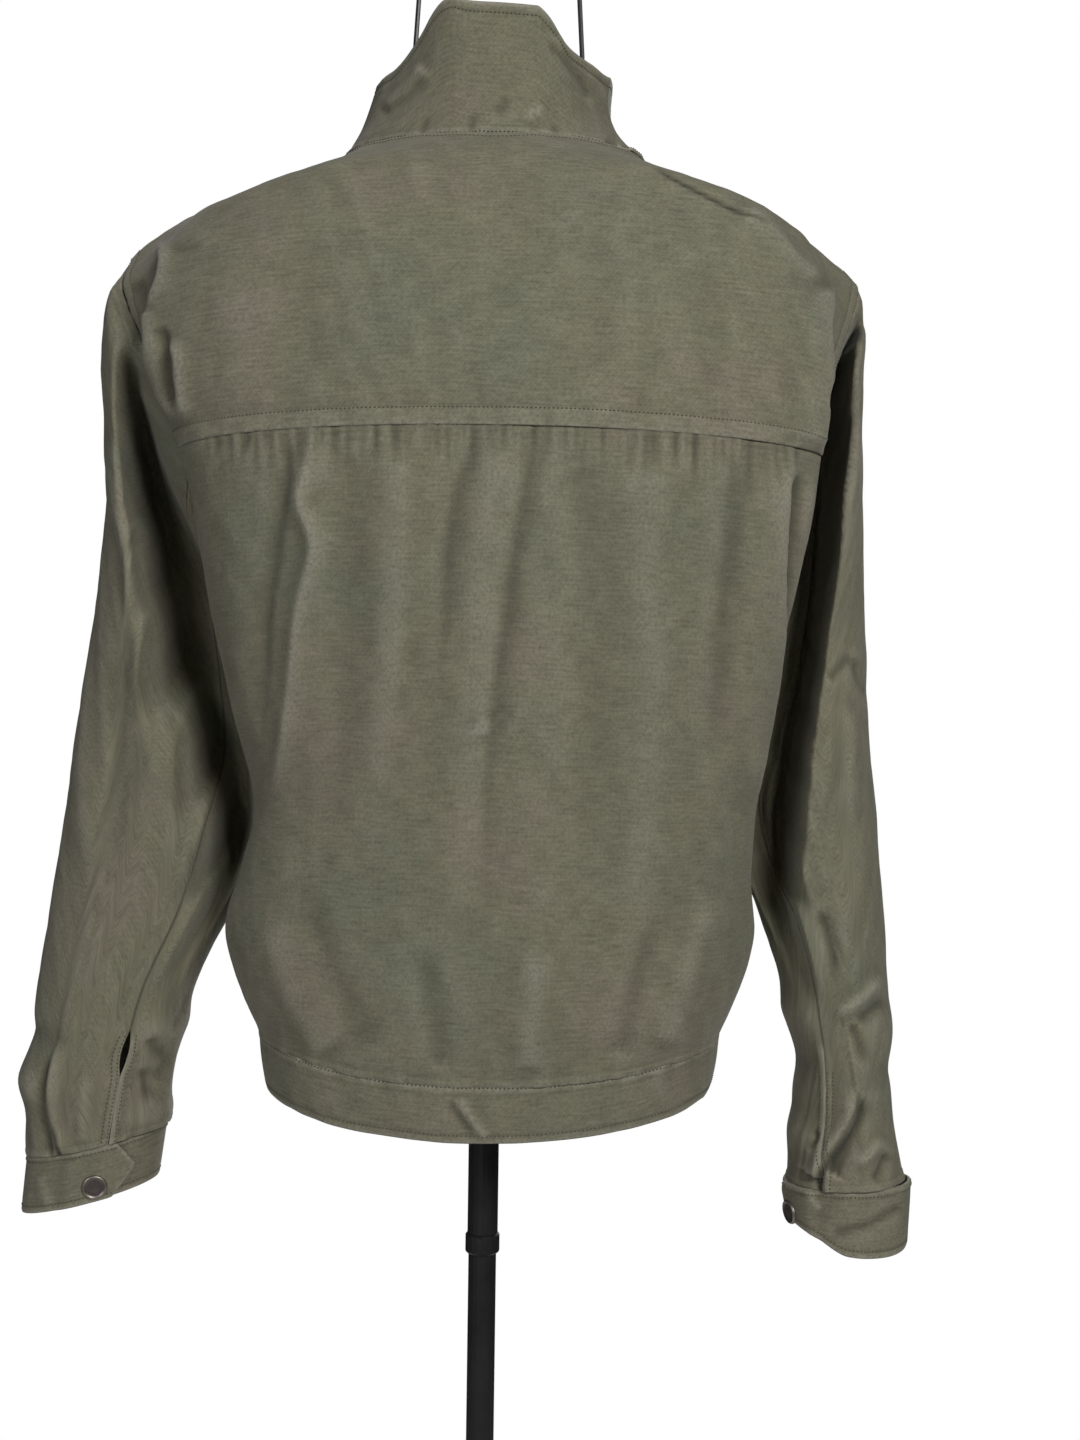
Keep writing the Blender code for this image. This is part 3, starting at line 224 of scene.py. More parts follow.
def twill(name, tones, rib_depth=0.12, rib_shade=0.08):
    """Twill whose rib and slubs follow the piece's UV map."""
    made, tree, shader = new_material(name, Roughness=0.86, Sheen_Weight=0.16,
                                      Sheen_Roughness=0.5, Specular_IOR_Level=0.2)
    uv = add_node(tree, "UVMap", {"uv_map": "cut"}).outputs["UV"]
    place = add_node(tree, "TexCoord").outputs["Object"]
    turned = add_node(tree, "Mapping", values={"Rotation": (0, 0, math.radians(-40))},
                      links={"Vector": uv})
    rib = add_node(tree, "TexWave", {"wave_profile": "SIN"},
                   {"Scale": 1000 * math.pi / 10 / TWILL_PITCH, "Distortion": 0.5, "Detail": 1.0,
                    "Detail Scale": 0.3}, {"Vector": turned.outputs["Vector"]})
    slub_place = add_node(tree, "Mapping",
                          values={"Scale": (1000 / SLUB_LENGTH, 1000 / SLUB_PITCH, 1)},
                          links={"Vector": uv})
    slub = add_node(tree, "TexNoise", values={"Scale": 1.0, "Detail": 2.0, "Roughness": 0.6},
                    links={"Vector": slub_place.outputs["Vector"]})
    grain = add_node(tree, "TexNoise", values={"Scale": 1000 / GRAIN, "Detail": 2.0},
                     links={"Vector": uv})
    patches = add_node(tree, "TexNoise", values={"Scale": 70.0, "Detail": 3.0, "Roughness": 0.6},
                       links={"Vector": uv})
    cloud = add_node(tree, "TexNoise", values={"Scale": 13.0, "Detail": 4.0, "Roughness": 0.6},
                     links={"Vector": place})
    tone = add_node(tree, "ValToRGB", links={"Fac": cloud.outputs["Fac"]})
    ramp = tone.color_ramp
    ramp.elements[0].position, ramp.elements[0].color = 0.34, linear(tones["green"])
    ramp.elements[1].position, ramp.elements[1].color = 0.68, linear(tones["brown"])
    ramp.elements.new(0.5).color = linear(tones["olive"])
    shade = add_node(tree, "Math", {"operation": "MULTIPLY_ADD"}, {1: 0.75, 2: 0.625 - rib_shade / 2},
                     {0: slub.outputs["Fac"]})
    for source, share in ((grain, 0.7), (patches, 0.4), (rib, rib_shade)):
        shade = add_node(tree, "Math", {"operation": "MULTIPLY_ADD"}, {1: share},
                         {0: source.outputs["Fac"], 2: shade.outputs["Value"]})
    even = add_node(tree, "Math", {"operation": "SUBTRACT"}, {1: 0.55},
                    {0: shade.outputs["Value"]})
    woven = add_node(tree, "VectorMath", {"operation": "SCALE"},
                     links={0: tone.outputs["Color"], "Scale": even.outputs["Value"]})
    # Below zero the wear value mixes in the painted-shade tone; above zero it mixes in the pale tone, for
    # abraded edges and a painted highlight on fold ridges.
    wear_and_shading = add_node(tree, "Attribute", {"attribute_name": "wear_and_shading"}).outputs["Fac"]
    deep = add_node(tree, "Math", {"operation": "MULTIPLY", "use_clamp": True}, {1: -1.0},
                    {0: wear_and_shading})
    painted_shade_mixed = mixed(tree, deep.outputs["Value"], woven.outputs["Vector"], tones["painted_shade"])
    broken = add_node(tree, "Math", {"operation": "MULTIPLY", "use_clamp": True},
                      links={0: wear_and_shading, 1: add_node(tree, "MapRange", values={
                          "From Min": 0.3, "From Max": 0.6, "To Min": 0.45, "To Max": 1.1},
                          links={"Value": grain.outputs["Fac"]}).outputs["Result"]})
    rubbed_and_lit = mixed(tree, broken.outputs["Value"], painted_shade_mixed, tones["rubbed_and_lit"])
    tree.links.new(rubbed_and_lit, shader.inputs["Base Color"])
    relief = add_node(tree, "Math", {"operation": "MULTIPLY_ADD"}, {1: 1.4},
                      {0: slub.outputs["Fac"], 2: rib.outputs["Fac"]})
    add_relief(tree, shader, relief.outputs["Value"], 0.5, rib_depth)
    return made


olive_twill = twill("olive_twill", CLOTH_TONES)
thread_finish, _, _ = new_material("sewing_thread", Base_Color=linear("#4A473A"), Roughness=0.7,
                                   Sheen_Weight=0.2)
floor_finish, _, _ = new_material("pale_floor", Base_Color=linear("#E4E3E0"), Roughness=0.9)
floor_mesh.materials.append(floor_finish)
print("cloth nodes:", len(olive_twill.node_tree.nodes))

# %% [markdown]
# ## Curves between given points
# A garment is drafted as smooth curves through a few measured points.  Each row of the body is a
# pair of such curves, and the rows are joined by cubic curves down the cloth, so that any point of
# the cloth can be asked for: this gives fine grids where there are folds and seams.

# %% Curve helpers
PULL_LIMIT = 1.4


def named(columns, rows):
    """The rows of a table as dictionaries."""
    return [dict(zip(columns, row)) for row in rows]


def smooth(x):
    """0 to 1 with level ends."""
    x = np.clip(x, 0.0, 1.0)
    return x * x * (3 - 2 * x)


def bell(x, width):
    """1 at zero, falling away on both sides over about so many millimetres."""
    return np.exp(-(x / width) ** 2)


def bezier(a, b, c, d, count=240):
    """Points along a cubic curve from a to d."""
    t = np.linspace(0, 1, count + 1)[:, None]
    a, b, c, d = (np.array(p, float) for p in (a, b, c, d))
    return (1 - t) ** 3 * a + 3 * (1 - t) ** 2 * t * b + 3 * (1 - t) * t * t * c + t ** 3 * d


def run_of(line):
    """How far along a polyline each of its points lies."""
    return np.concatenate([[0], np.cumsum(np.linalg.norm(np.diff(line, axis=0), axis=1))])


def along(line, share):
    """Points at shares of the way along a polyline."""
    run = run_of(line)
    return np.stack([np.interp(np.clip(share, 0, 1) * run[-1], run, line[:, k])
                     for k in range(line.shape[1])], axis=1)


def end_to_end(pieces, column):
    """Points at columns of curves laid end to end; each curve has so many columns."""
    out, start = np.zeros((len(column), 3)), 0
    for line, parts in pieces:
        here = column >= start
        out[here] = along(line, (column[here] - start) / parts)
        start += parts
    return out


def slopes_through(knots, rows):
    """The slope of a smooth curve through the rows, at each row."""
    steps = np.diff(knots).reshape(-1, *[1] * (rows.ndim - 1))
    chords = np.diff(rows, axis=0) / steps
    middle = (chords[:-1] * steps[1:] + chords[1:] * steps[:-1]) / (steps[:-1] + steps[1:])
    return np.concatenate([chords[:1], middle, chords[-1:]])


def held_in(pull, chord):
    """A curve's pull at one end, no longer than PULL_LIMIT times the chord it spans."""
    size = np.linalg.norm(pull, axis=-1, keepdims=True)
    limit = PULL_LIMIT * np.linalg.norm(chord, axis=-1, keepdims=True)
    return pull * np.minimum(1, limit / np.maximum(size, 1e-9))


def between(knots, rows, at, leave=None, arrive=None):
    """Rows at any places between the given ones, on cubic curves."""
    knots, rows, at = np.asarray(knots, float), np.asarray(rows, float), np.atleast_1d(at)
    if leave is None:
        leave = arrive = slopes_through(knots, rows)
    k = np.clip(np.searchsorted(knots, at, side="right"), 1, len(knots) - 1)
    wide = (-1, *[1] * (rows.ndim - 1))
    step = (knots[k] - knots[k - 1]).reshape(wide)
    u = ((at - knots[k - 1]) / (knots[k] - knots[k - 1])).reshape(wide)
    chord = rows[k] - rows[k - 1]
    first, last = held_in(step * leave[k - 1], chord), held_in(step * arrive[k], chord)
    return ((2 * u ** 3 - 3 * u ** 2 + 1) * rows[k - 1] + (u ** 3 - 2 * u ** 2 + u) * first
            + (3 * u ** 2 - 2 * u ** 3) * rows[k] + (u ** 3 - u ** 2) * last)


def graded(start, stop, step, fine, reach):
    """Values from start to stop, a step apart in the middle and closer near both ends."""
    x = np.linspace(start, stop, 2000)
    size = fine + (step - fine) * smooth(np.minimum(x - start, stop - x) / reach)
    passed = np.concatenate([[0], np.cumsum((x[1] - x[0]) / size[1:])])
    return np.interp(np.linspace(0, passed[-1], int(round(passed[-1])) + 1), passed, x)


def mirrored(line, side):
    """A line drawn for the half at +X, on the left or right half."""
    return np.array(line, float) * ((-1, 1, 1) if side == "left" else (1, 1, 1))


# %% [markdown]
# ## The measurements of the body
# These are the same points and rows as the solids were made from.  The back is described by
# fifteen level rows and the fronts by fifteen more; the shoulders come from a few frame points,
# with the wearer's right shoulder hanging lower, as the photograph shows.

# %% Measurements of the body, in millimetres
# Points of the garment's frame.  The right shoulder hangs lower than the left one.
NAPE = (0.0, -66.0, 1402.0)
NECK_FRONT = (0.0, 80.0, 1362.0)
NECK_SIDE = {"left": (94.0, -3.0, 1406.0), "right": (94.0, -3.0, 1403.0)}
SHOULDER_FOLD = {"left": (190.0, -1.0, 1368.0), "right": (188.0, -1.0, 1355.0)}
SHOULDER_TIP = {"left": (226.0, 0.0, 1341.0), "right": (221.0, 0.0, 1334.0)}
RIDGE_LEAVE = (0.0, 0.80, -0.34)   # how the cloth leaves the shoulder seam

# Rows of the back, top down.  mid: centre back.  fold: where the back folds round to the side.
# side: the armhole, then the side seam.  _l and _r: the left and right halves.
BACK_COLUMNS = ("name", "at", "y_mid", "z_mid", "fold_l", "fold_r", "y_fold", "z_fold", "side_l",
                "side_r", "y_side", "z_side")
BACK_ROWS = (
    ("nape", 20, -80, 1388, 188, 186, -32, 1353, 228, 223, -13, 1326),
    ("shoulder", 50, -97, 1362, 196, 194, -50, 1333, 221, 217, -27, 1306),
    ("blade", 92, -111, 1324, 201, 199, -60, 1304, 210, 209, -43, 1287),
    ("armhole", 140, -121, 1276, 199, 198, -65, 1266, 200, 201, -56, 1264),
    ("yoke", 195, -125, 1220.5, 181, 193, -66, 1215, 178, 187, -51, 1215),
    ("panel", 224, -124.5, 1193, 175, 190, -62, 1190, 172, 178, -30, 1188),
    ("panel_2", 245, -124, 1173, 172, 187, -60, 1171, 168, 173, -13, 1167),
    ("underarm", 258, -123, 1160, 170, 185, -58, 1160, 165, 170, 0, 1160),
    ("ribs", 300, -120, 1120, 163, 178, -54, 1120, 153, 155, 3, 1121),
    ("waist", 360, -115, 1060, 150, 168, -50, 1060, 138, 145, 6, 1061),
    ("pinch", 420, -111, 1000, 138, 160, -44, 1000, 130, 141, 8, 1001),
    ("blouse", 455, -109.5, 965, 147, 159, -38, 965, 138, 147, 8, 967),
    ("fullest", 492, -108, 928, 157, 162, -30, 930, 150, 154, 6, 932),
    ("draw", 535, -105, 885, 146, 151, -30, 891, 144, 148, 4, 896),
    ("hem", 569, -99, 850.5, 133, 138, -32, 864, 140, 145, 2, 872),
)

# Rows of the fronts, top down to the underarm; below it they share the back's side seam.
# full: 0 where the cloth runs nearly straight from armhole to centre, 1 where it stands out square.
FRONT_COLUMNS = ("name", "full", "y_mid", "z_mid", "side_l", "side_r", "y_side", "z_side")
FRONT_ROWS = (
    ("collarbone", 0.0, 84, 1349, 226, 224, 13, 1328),
    ("shoulder", 0.2, 91, 1328, 218, 216, 27, 1308),
    ("chest", 0.5, 101, 1296, 205, 204, 42, 1287),
    ("armhole", 0.75, 109, 1262, 193, 194, 53, 1264),
    ("bust", 0.9, 115, 1224, 180, 185, 50, 1222),
    ("bust_2", 1.0, 118, 1193, 173, 178, 30, 1190),
    ("bust_3", 1.0, 119, 1171, 168, 173, 13, 1167),
    ("underarm", 1.0, 119, 1160, 165, 170, 0, 1160),
    ("ribs", 1.0, 118, 1120, None, None, None, None),
    ("waist", 1.0, 114, 1060, None, None, None, None),
    ("pinch", 1.0, 110, 1000, None, None, None, None),
    ("blouse", 1.0, 109, 965, None, None, None, None),
    ("fullest", 1.0, 108, 928, None, None, None, None),
    ("draw", 1.0, 105, 885, None, None, None, None),
    ("hem", 1.0, 99, 850.5, None, None, None, None),
)
BACK, FRONT = named(BACK_COLUMNS, BACK_ROWS), named(FRONT_COLUMNS, FRONT_ROWS)
for front_level, back_level in zip(FRONT[8:], BACK[8:]):
    front_level.update({key: back_level[key] for key in ("side_l", "side_r", "y_side", "z_side")})
KNOTS = np.array([0.0] + [row["at"] for row in BACK])
YOKE_END, UNDERARM_AT, HEM_AT, UNDERARM = 195.0, 258.0, 569.0, 8
NECK, ARM, FRONT_CENTRE, FRONT_EDGE = 5, 14, 13, 14   # columns of a half
LAP, LAP_DEPTH, LAP_START = 18.0, 4.3, 54.0

# %% Rows of the back and fronts
def top_curves(side):
    """The neck, the shoulder seam, its tip and the front neck, for the half at +X."""
    start, fold, end = (np.array(p[side]) for p in (NECK_SIDE, SHOULDER_FOLD, SHOULDER_TIP))
    slope = (fold - start) / 3
    return (bezier(NAPE, (40, -66, 1402), (86, -40, 1404), start),
            bezier(start, start + slope, fold - slope, fold),
            bezier(fold, fold + slope * 0.4, (end[0] - 7, 0, end[2] + 9), end),
            bezier(start, (92, 34, 1400), (60, 74, 1366), NECK_FRONT))


def back_row(row, side, column):
    """A row of one half of the back; without a row, the neck and shoulder."""
    if row is None:
        neck, seam, tip, _ = top_curves(side)
        return mirrored(end_to_end(((neck, 5), (seam, 6), (tip, 3)), column), side)
    fold_x, side_x = row["fold_" + side[0]], row["side_" + side[0]]
    mid, fold = (0, row["y_mid"], row["z_mid"]), (fold_x, row["y_fold"], row["z_fold"])
    rise, run = row["y_fold"] - row["y_mid"], max(row["y_side"] - row["y_fold"], 1)
    across = bezier(mid, (0.62 * fold_x, row["y_mid"], row["z_mid"]),
                    (fold_x - 0.22 * rise, row["y_fold"] - 0.62 * rise, row["z_fold"]), fold)
    round_it = bezier(fold, (fold_x + 0.12 * run, row["y_fold"] + 0.34 * run, row["z_fold"]),
                      (side_x + 0.06 * (fold_x - side_x), row["y_side"] - 0.34 * run,
                       row["z_side"]), (side_x, row["y_side"], row["z_side"]))
    return mirrored(end_to_end(((across, 11), (round_it, 3)), column), side)


def front_row(row, side, column):
    """A row of one front, from the armhole or side seam to the centre."""
    if row is None:
        _, seam, tip, neck = top_curves(side)
        return mirrored(end_to_end(((tip[::-1], 3), (seam[::-1], 6), (neck, 4)), column), side)
    side_x, full, rise = row["side_" + side[0]], row["full"], row["y_mid"] - row["y_side"]
    start = np.array((side_x, row["y_side"], row["z_side"]))
    middle = np.array((0, row["y_mid"], row["z_mid"]))
    square = (side_x - 0.03 * rise, row["y_side"] + 0.55 * rise, row["z_side"])
    straight = start + (middle - start) * (0.28, 0.42, 0.65)
    over = middle + (0.55 * side_x, 0, 0) - (1 - full) * np.array((0, 0.14 * rise, 0))
    line = bezier(start, straight + (square - straight) * full, over, middle)
    return mirrored(end_to_end(((line, 13),), column), side)


def half_cloth(make_row, table, side, column, at, edge, ridge, onto):
    """One half of the back or front, at columns and distances down the cloth."""
    rows = np.array([make_row(row, side, column) for row in [None] + table])
    slope = slopes_through(KNOTS, rows)
    leave, arrive = slope.copy(), slope.copy()
    size = np.linalg.norm(slope[0], axis=1)[:, None]
    over = np.array(RIDGE_LEAVE) * (1, onto, 1) * size
    leave[0] = slope[0] * (1 - ridge[:, None]) + over * ridge[:, None]
    u, share = UNDERARM, edge[:, None]
    below = (rows[u + 1] - rows[u]) / (KNOTS[u + 1] - KNOTS[u])
    level = np.zeros_like(below)
    level[:, 1] = (rows[u] - rows[u - 1])[:, 1] / (KNOTS[u] - KNOTS[u - 1])
    leave[u] = slope[u] * (1 - share) + below * share
    arrive[u] = slope[u] * (1 - share) + level * share
    return between(KNOTS, rows, at, leave, arrive)


def back_cloth(column, at):
    """The back; columns run from -14 at the left armhole to 14 at the right one."""
    out = np.zeros((len(at), len(column), 3))
    for side, mine in (("left", column < 0), ("right", column >= 0)):
        if mine.any():
            c = np.abs(column[mine])
            out[:, mine] = half_cloth(back_row, BACK, side, c, at, smooth((c - 11) / 3),
                                      smooth((c - 4) / 3), -1)
    return out


def outward(grid, flip=False):
    """Directions out of the cloth, for a grid whose rows run down it."""
    out = np.cross(np.gradient(grid, axis=0), np.gradient(grid, axis=1))
    out /= np.maximum(np.linalg.norm(out, axis=-1, keepdims=True), 1e-9)
    return -out if flip else out


def front_unlapped(side, column, at):
    """A front before the left one is let in under the right one."""
    c = np.minimum(column, FRONT_CENTRE)
    grid = half_cloth(front_row, FRONT, side, c, at, smooth(1 - c / 3), smooth((10 - c) / 3), 1)
    past = np.maximum(column - FRONT_CENTRE, 0)
    grid[..., 0] += (-LAP if side == "right" else LAP) * past
    grid[..., 1] -= 0.3 * past
    return grid


def front_cloth(side, column, at):
    """A front; columns run from 0 at the armhole to 13 at the centre and 14 at the lap's edge."""
    at = np.asarray(at, float)
    grid = front_unlapped(side, column, at)
    if side == "left":
        across = front_unlapped(side, column + 0.02, at) - grid
        downward = front_unlapped(side, column, at + 0.5) - grid
        out = np.cross(across, downward)
        out /= np.maximum(np.linalg.norm(out, axis=-1, keepdims=True), 1e-9)
        under = smooth((grid[..., 0] + LAP_START) / (LAP_START - LAP - 4))
        facing = smooth((grid[..., 1] - 40) / 30)
        grid -= out * (LAP_DEPTH * under * facing)[..., None]
    return grid


print("centre back length in mm:", round(float(run_of(back_cloth(np.zeros(1),
                                                np.arange(0.0, 570, 2))[:, 0])[-1])))

# %% [markdown]
# ## From a grid of points to a piece of cloth
# A flat grid from Blender's grid operator becomes a piece of cloth when its vertices are moved to
# the curved surface.  The distances along and down the cloth give the UV map, so the twill keeps
# its scale.  A Solidify modifier gives the thickness, on the inside.

# %% Piece of cloth
pieces = {}


def measured(grid):
    """Distances along each row and down each column, in millimetres."""
    step_x = np.linalg.norm(np.diff(grid, axis=1), axis=2)
    step_z = np.linalg.norm(np.diff(grid, axis=0), axis=2)
    return (np.concatenate([np.zeros((len(grid), 1)), step_x.cumsum(axis=1)], axis=1),
            np.concatenate([np.zeros((1, grid.shape[1])), step_z.cumsum(axis=0)], axis=0))


def add_piece(node, grid, out, lift, wear_and_shading, thick, flip=False, fullness=1.0, held="gathered",
              grain_from="top"):
    """Lift a surface, make the piece with its UV map, abrasion and painted shading, and say what it stands
    for.
    """
    grid = grid + out * lift[..., None]
    rows, columns = grid.shape[:2]
    bm = bmesh.new()
    bmesh.ops.create_grid(bm, x_segments=columns - 1, y_segments=rows - 1, size=1)
    for vertex, place in zip(bm.verts, grid[::-1].reshape(-1, 3) * MM):
        vertex.co = place
    if flip:
        bmesh.ops.reverse_faces(bm, faces=bm.faces)
    mesh = mesh_from("cloth_" + node, bm)
    mesh.shade_smooth()
    across, down = measured(grid)
    level = down if grain_from == "top" else down - down[-1:]
    cut = np.stack([(across - across[:, columns // 2:columns // 2 + 1]) * fullness, level],
                   axis=2)[::-1]
    corner = np.zeros(len(mesh.loops), dtype=np.int32)
    mesh.loops.foreach_get("vertex_index", corner)
    layer = mesh.uv_layers.new(name="cut")
    layer.data.foreach_set("uv", (cut.reshape(-1, 2) * MM)[corner].ravel().astype(np.float32))
    wear_and_shading_layer = mesh.attributes.new("wear_and_shading", "FLOAT", "POINT")
    wear_and_shading_layer.data.foreach_set("value", np.clip(wear_and_shading[::-1], -1, 1).ravel().astype(np.float32))
    mesh.materials.append(olive_twill)
    made = in_scene(mesh.name, mesh)
    wall = made.modifiers.new("thickness", "SOLIDIFY")
    wall.thickness, wall.offset, wall.use_rim = thick * MM, -1, True
    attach(made, "root")
    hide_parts(node)
    diagonals = (grid[1:, 1:] - grid[:-1, :-1]), (grid[1:, :-1] - grid[:-1, 1:])
    area = float(np.linalg.norm(np.cross(*diagonals), axis=2).sum() / 2) * MM * MM
    pieces[node] = {"object": made, "grid": grid, "across": across, "down": down,
                    "out": outward(grid, flip), "area": area, "fullness": fullness,
                    "flat": (float(across[:, -1].max()) * MM * fullness,
                             float(down[-1].max()) * MM), "held": held, "with": []}
    print(node, "%d x %d" % (rows, columns), "flat", [round(v, 3) for v in pieces[node]["flat"]],
          "area", round(area, 4))


# %% [markdown]
# ## Folds
# A fold is a line on the cloth with a height and a reach to each side of it: a steep side and a
# slow side make it look blown and soft rather than like a wave.  On the side that the photograph
# shows, the lines are given where they are seen, in its pixels.  On the other sides they are
# given as (x, -z) points in millimetres.  Low, uneven swelling is added everywhere, because
# washed twill is never quite flat.

# %% Fold helpers
def lift_of(flat, facing, folds):
    """How far folds lift the cloth.  Each fold is its height, its reach to the left and to the
    right, how sharp it is, the share of its length that fades in and out, and its line."""
    lift = np.zeros(facing.shape)
    for height, left, right, sharp, fade, line in folds:
        knots = np.arange(len(line), dtype=float)
        path = between(knots, np.array(line, float), np.linspace(0, knots[-1], 20 * len(line)))
        far = 3 * max(left, right)
        near = ((flat > path.min(axis=0) - far) & (flat < path.max(axis=0) + far)).all(axis=-1)
        near &= facing > 0
        if not near.any():
            continue
        spots = flat[near]
        k = ((spots[:, None] - path[None]) ** 2).sum(axis=-1).argmin(axis=1)
        offset, ahead = spots - path[k], np.gradient(path, axis=0)[k]
        turn = ahead[:, 0] * offset[:, 1] - ahead[:, 1] * offset[:, 0]
        distance = np.linalg.norm(offset, axis=1) / np.where(turn < 0, right, left)
        share = k / (len(path) - 1)
        ends = smooth(share / max(fade[0], 1e-6) + (fade[0] == 0)) * smooth(
            (1 - share) / max(fade[1], 1e-6))
        lift[near] += height * np.exp(-distance ** sharp) * ends * smooth(1.6 * facing[near])
    return lift


def unevenness(u, v, size, seed):
    """Smooth random values from -1 to 1, in lumps about size apart."""
    table = np.random.default_rng(seed).uniform(-1, 1, (97, 97))
    i, j = np.floor(u / size).astype(int), np.floor(v / size).astype(int)
    x, y = smooth(u / size - i), smooth(v / size - j)
    corner = [[table[(i + a) % 97, (j + b) % 97] for b in (0, 1)] for a in (0, 1)]
    return ((1 - x) * ((1 - y) * corner[0][0] + y * corner[0][1])
            + x * ((1 - y) * corner[1][0] + y * corner[1][1]))


def rumple(u, v, seed, depth=1.0):
    """The slight swelling of soft cloth: long lumps down the cloth and finer ones on them."""
    return depth * (0.9 * unevenness(u + 0.2 * v, v * 0.45, 34, seed)
                    + 0.45 * unevenness(u - 0.3 * v, v * 0.6, 15, seed + 1)
                    + 0.16 * unevenness(u, v * 0.8, 6.5, seed + 2))


def soften(field, across, down, reach):
    """A field on a piece of cloth, averaged over about so many millimetres."""
    for axis, run in ((1, across), (0, down)):
        step = float(np.abs(np.diff(run, axis=axis)).mean())
        for _ in range(min(int(np.ceil(2 * (reach / step) ** 2)), 160)):
            wide = np.pad(field, [(1, 1) if k == axis else (0, 0) for k in (0, 1)], mode="edge")
            wide = np.moveaxis(wide, axis, 0)
            field = np.moveaxis((wide[:-2] + 2 * wide[1:-1] + wide[2:]) / 4, 0, axis)
    return field


def painted_fold_shading(lift, across, down):
    """Painted shade in the cloth's creases and a painted highlight on its ridges, from its own folds."""
    fine = soften(lift, across, down, 3.0) - lift
    broad = soften(lift, across, down, 11.0) - lift
    return 0.42 * np.tanh(fine / 0.8) + 0.22 * np.tanh(broad / 2.4)


# %% [markdown]
# ## Seams
# A seam shows as a groove where two pieces meet, a low ridge where the turnings lie under the
# cloth, and a dip along the row of stitches, with small puckers because the thread draws in.

# %% Seam relief
# How far the rows of stitches lie from their seams and edges, in millimetres.
PLAIN_ROW, ARM_ROW, BAND_ROW, CUFF_ROW, FIRST_ROW = 6.0, 9.0, 5.0, 4.5, 2.2
STITCH_DIP = 0.9


def seam_relief(distance, run, width, seed, pucker=0.28, roll=0.7):
    """Height of the cloth at distances from a seam, with its topstitch at width."""
    sunk = -roll * bell(distance, 0.9)
    turnings = 0.45 * smooth(distance / 1.5) * smooth((width + 1.6 - distance) / 1.6)
    stitched = -0.45 * bell(distance - width, STITCH_DIP)
    puckers = pucker * unevenness(run, distance * 0.25, 4.6, seed) * np.exp(-distance / width)
    return sunk + turnings + stitched + puckers


def seam_wear_and_shade(distance, width):
    """Where a seam is abraded pale, on its folded edge and its turnings, with painted shade along the dip
    of its stitches.
    """
    pale = 0.7 * bell(distance, 1.1) + 0.07 * smooth((width - distance) / 1.5)
    return pale - 0.10 * bell(distance - width, STITCH_DIP)


def turned_edge(distance, row):
    """Height of a folded edge: rounded off, with a dip along its stitches."""
    return -0.6 * bell(distance, 1.0) - 0.3 * bell(distance - row, STITCH_DIP)


def edge_wear_and_shade(distance, from_row):
    """Where a folded edge is abraded pale, with painted shade along the dip of its stitches."""
    return 0.8 * bell(distance, 1.8) - 0.1 * bell(from_row, STITCH_DIP)


def edge_distance(grid, edge):
    """How far each point is from one edge of its piece, along the cloth."""
    across, down = measured(grid)
    return {"top": down, "bottom": down[-1:] - down, "left": across,
            "right": across[:, -1:] - across}[edge]


# %% [markdown]
# ## The back yoke and the gathered back panel
# The yoke is smooth across the shoulders.  The panel under it is cut wider and drawn up into fine
# gathers along the yoke's lower edge, which is turned under and topstitched at 10 mm.  A deep fold
# hangs from the left shoulder blade, softer troughs run down the middle, and the right side turns
# back on itself into a dark pocket.

# %% Folds of the back
YOKE_SEAM = ((190, 442), (245, 438), (297, 432), (332, 427), (364, 424), (440, 423), (520, 424),
             (606, 425), (630, 429), (663, 436), (695, 443), (728, 447), (760, 451), (790, 456))
SOFT, CREASED = 2.0, 1.3
SHOULDER_FOLDS = [
    (5.5, 6, 10, 1.5, (0.1, 0.2), ((161, 238), (166, 261), (163, 283), (156, 300), (151, 316), (152, 341),
     (151, 362), (155, 389), (170, 409), (188, 429))),
    (4.0, 6, 10, 1.6, (0.2, 0.2), ((168, 338), (178, 356), (180, 379), (183, 399), (189, 427))),
    (-4.5, 6, 6, 1.6, (0.2, 0.2), ((161, 322), (165, 350), (167, 380), (176, 412))),
    (-2.5, 8, 8, SOFT, (0.2, 0.2), ((133, 278), (145, 298), (150, 319))),
    (-1.6, 5, 6, CREASED, (0.2, 0.4), ((171, 250), (189, 248), (205, 240))),
    (3.5, 16, 9, 1.7, (0.2, 0.2), ((733, 208), (755, 220), (773, 235), (793, 258), (808, 271), (824, 290))),
    (5.0, 26, 4, 1.9, (0.1, 0.05), ((831, 282), (829, 303), (825, 326), (826, 349), (828, 374), (824, 386),
     (821, 402), (822, 416), (819, 432), (816, 460))),
    (-1.5, 24, 24, SOFT, (0.2, 0.3), ((700, 250), (712, 330), (706, 420))),
    (1.5, 30, 30, SOFT, (0.3, 0.3), ((250, 270), (240, 340), (248, 420))),
    (-1.2, 26, 26, SOFT, (0.3, 0.3), ((310, 200), (300, 300), (320, 400))),
    (-1.0, 24, 24, SOFT, (0.3, 0.3), ((590, 210), (604, 300), (590, 400))),
]
SHOULDER_SEAM = [(1.0, 2.0, 2.0, SOFT, (0.15, 0.15), ((650, 167), (684, 185), (718, 203), (741, 215),
                                                      (770, 229)))]
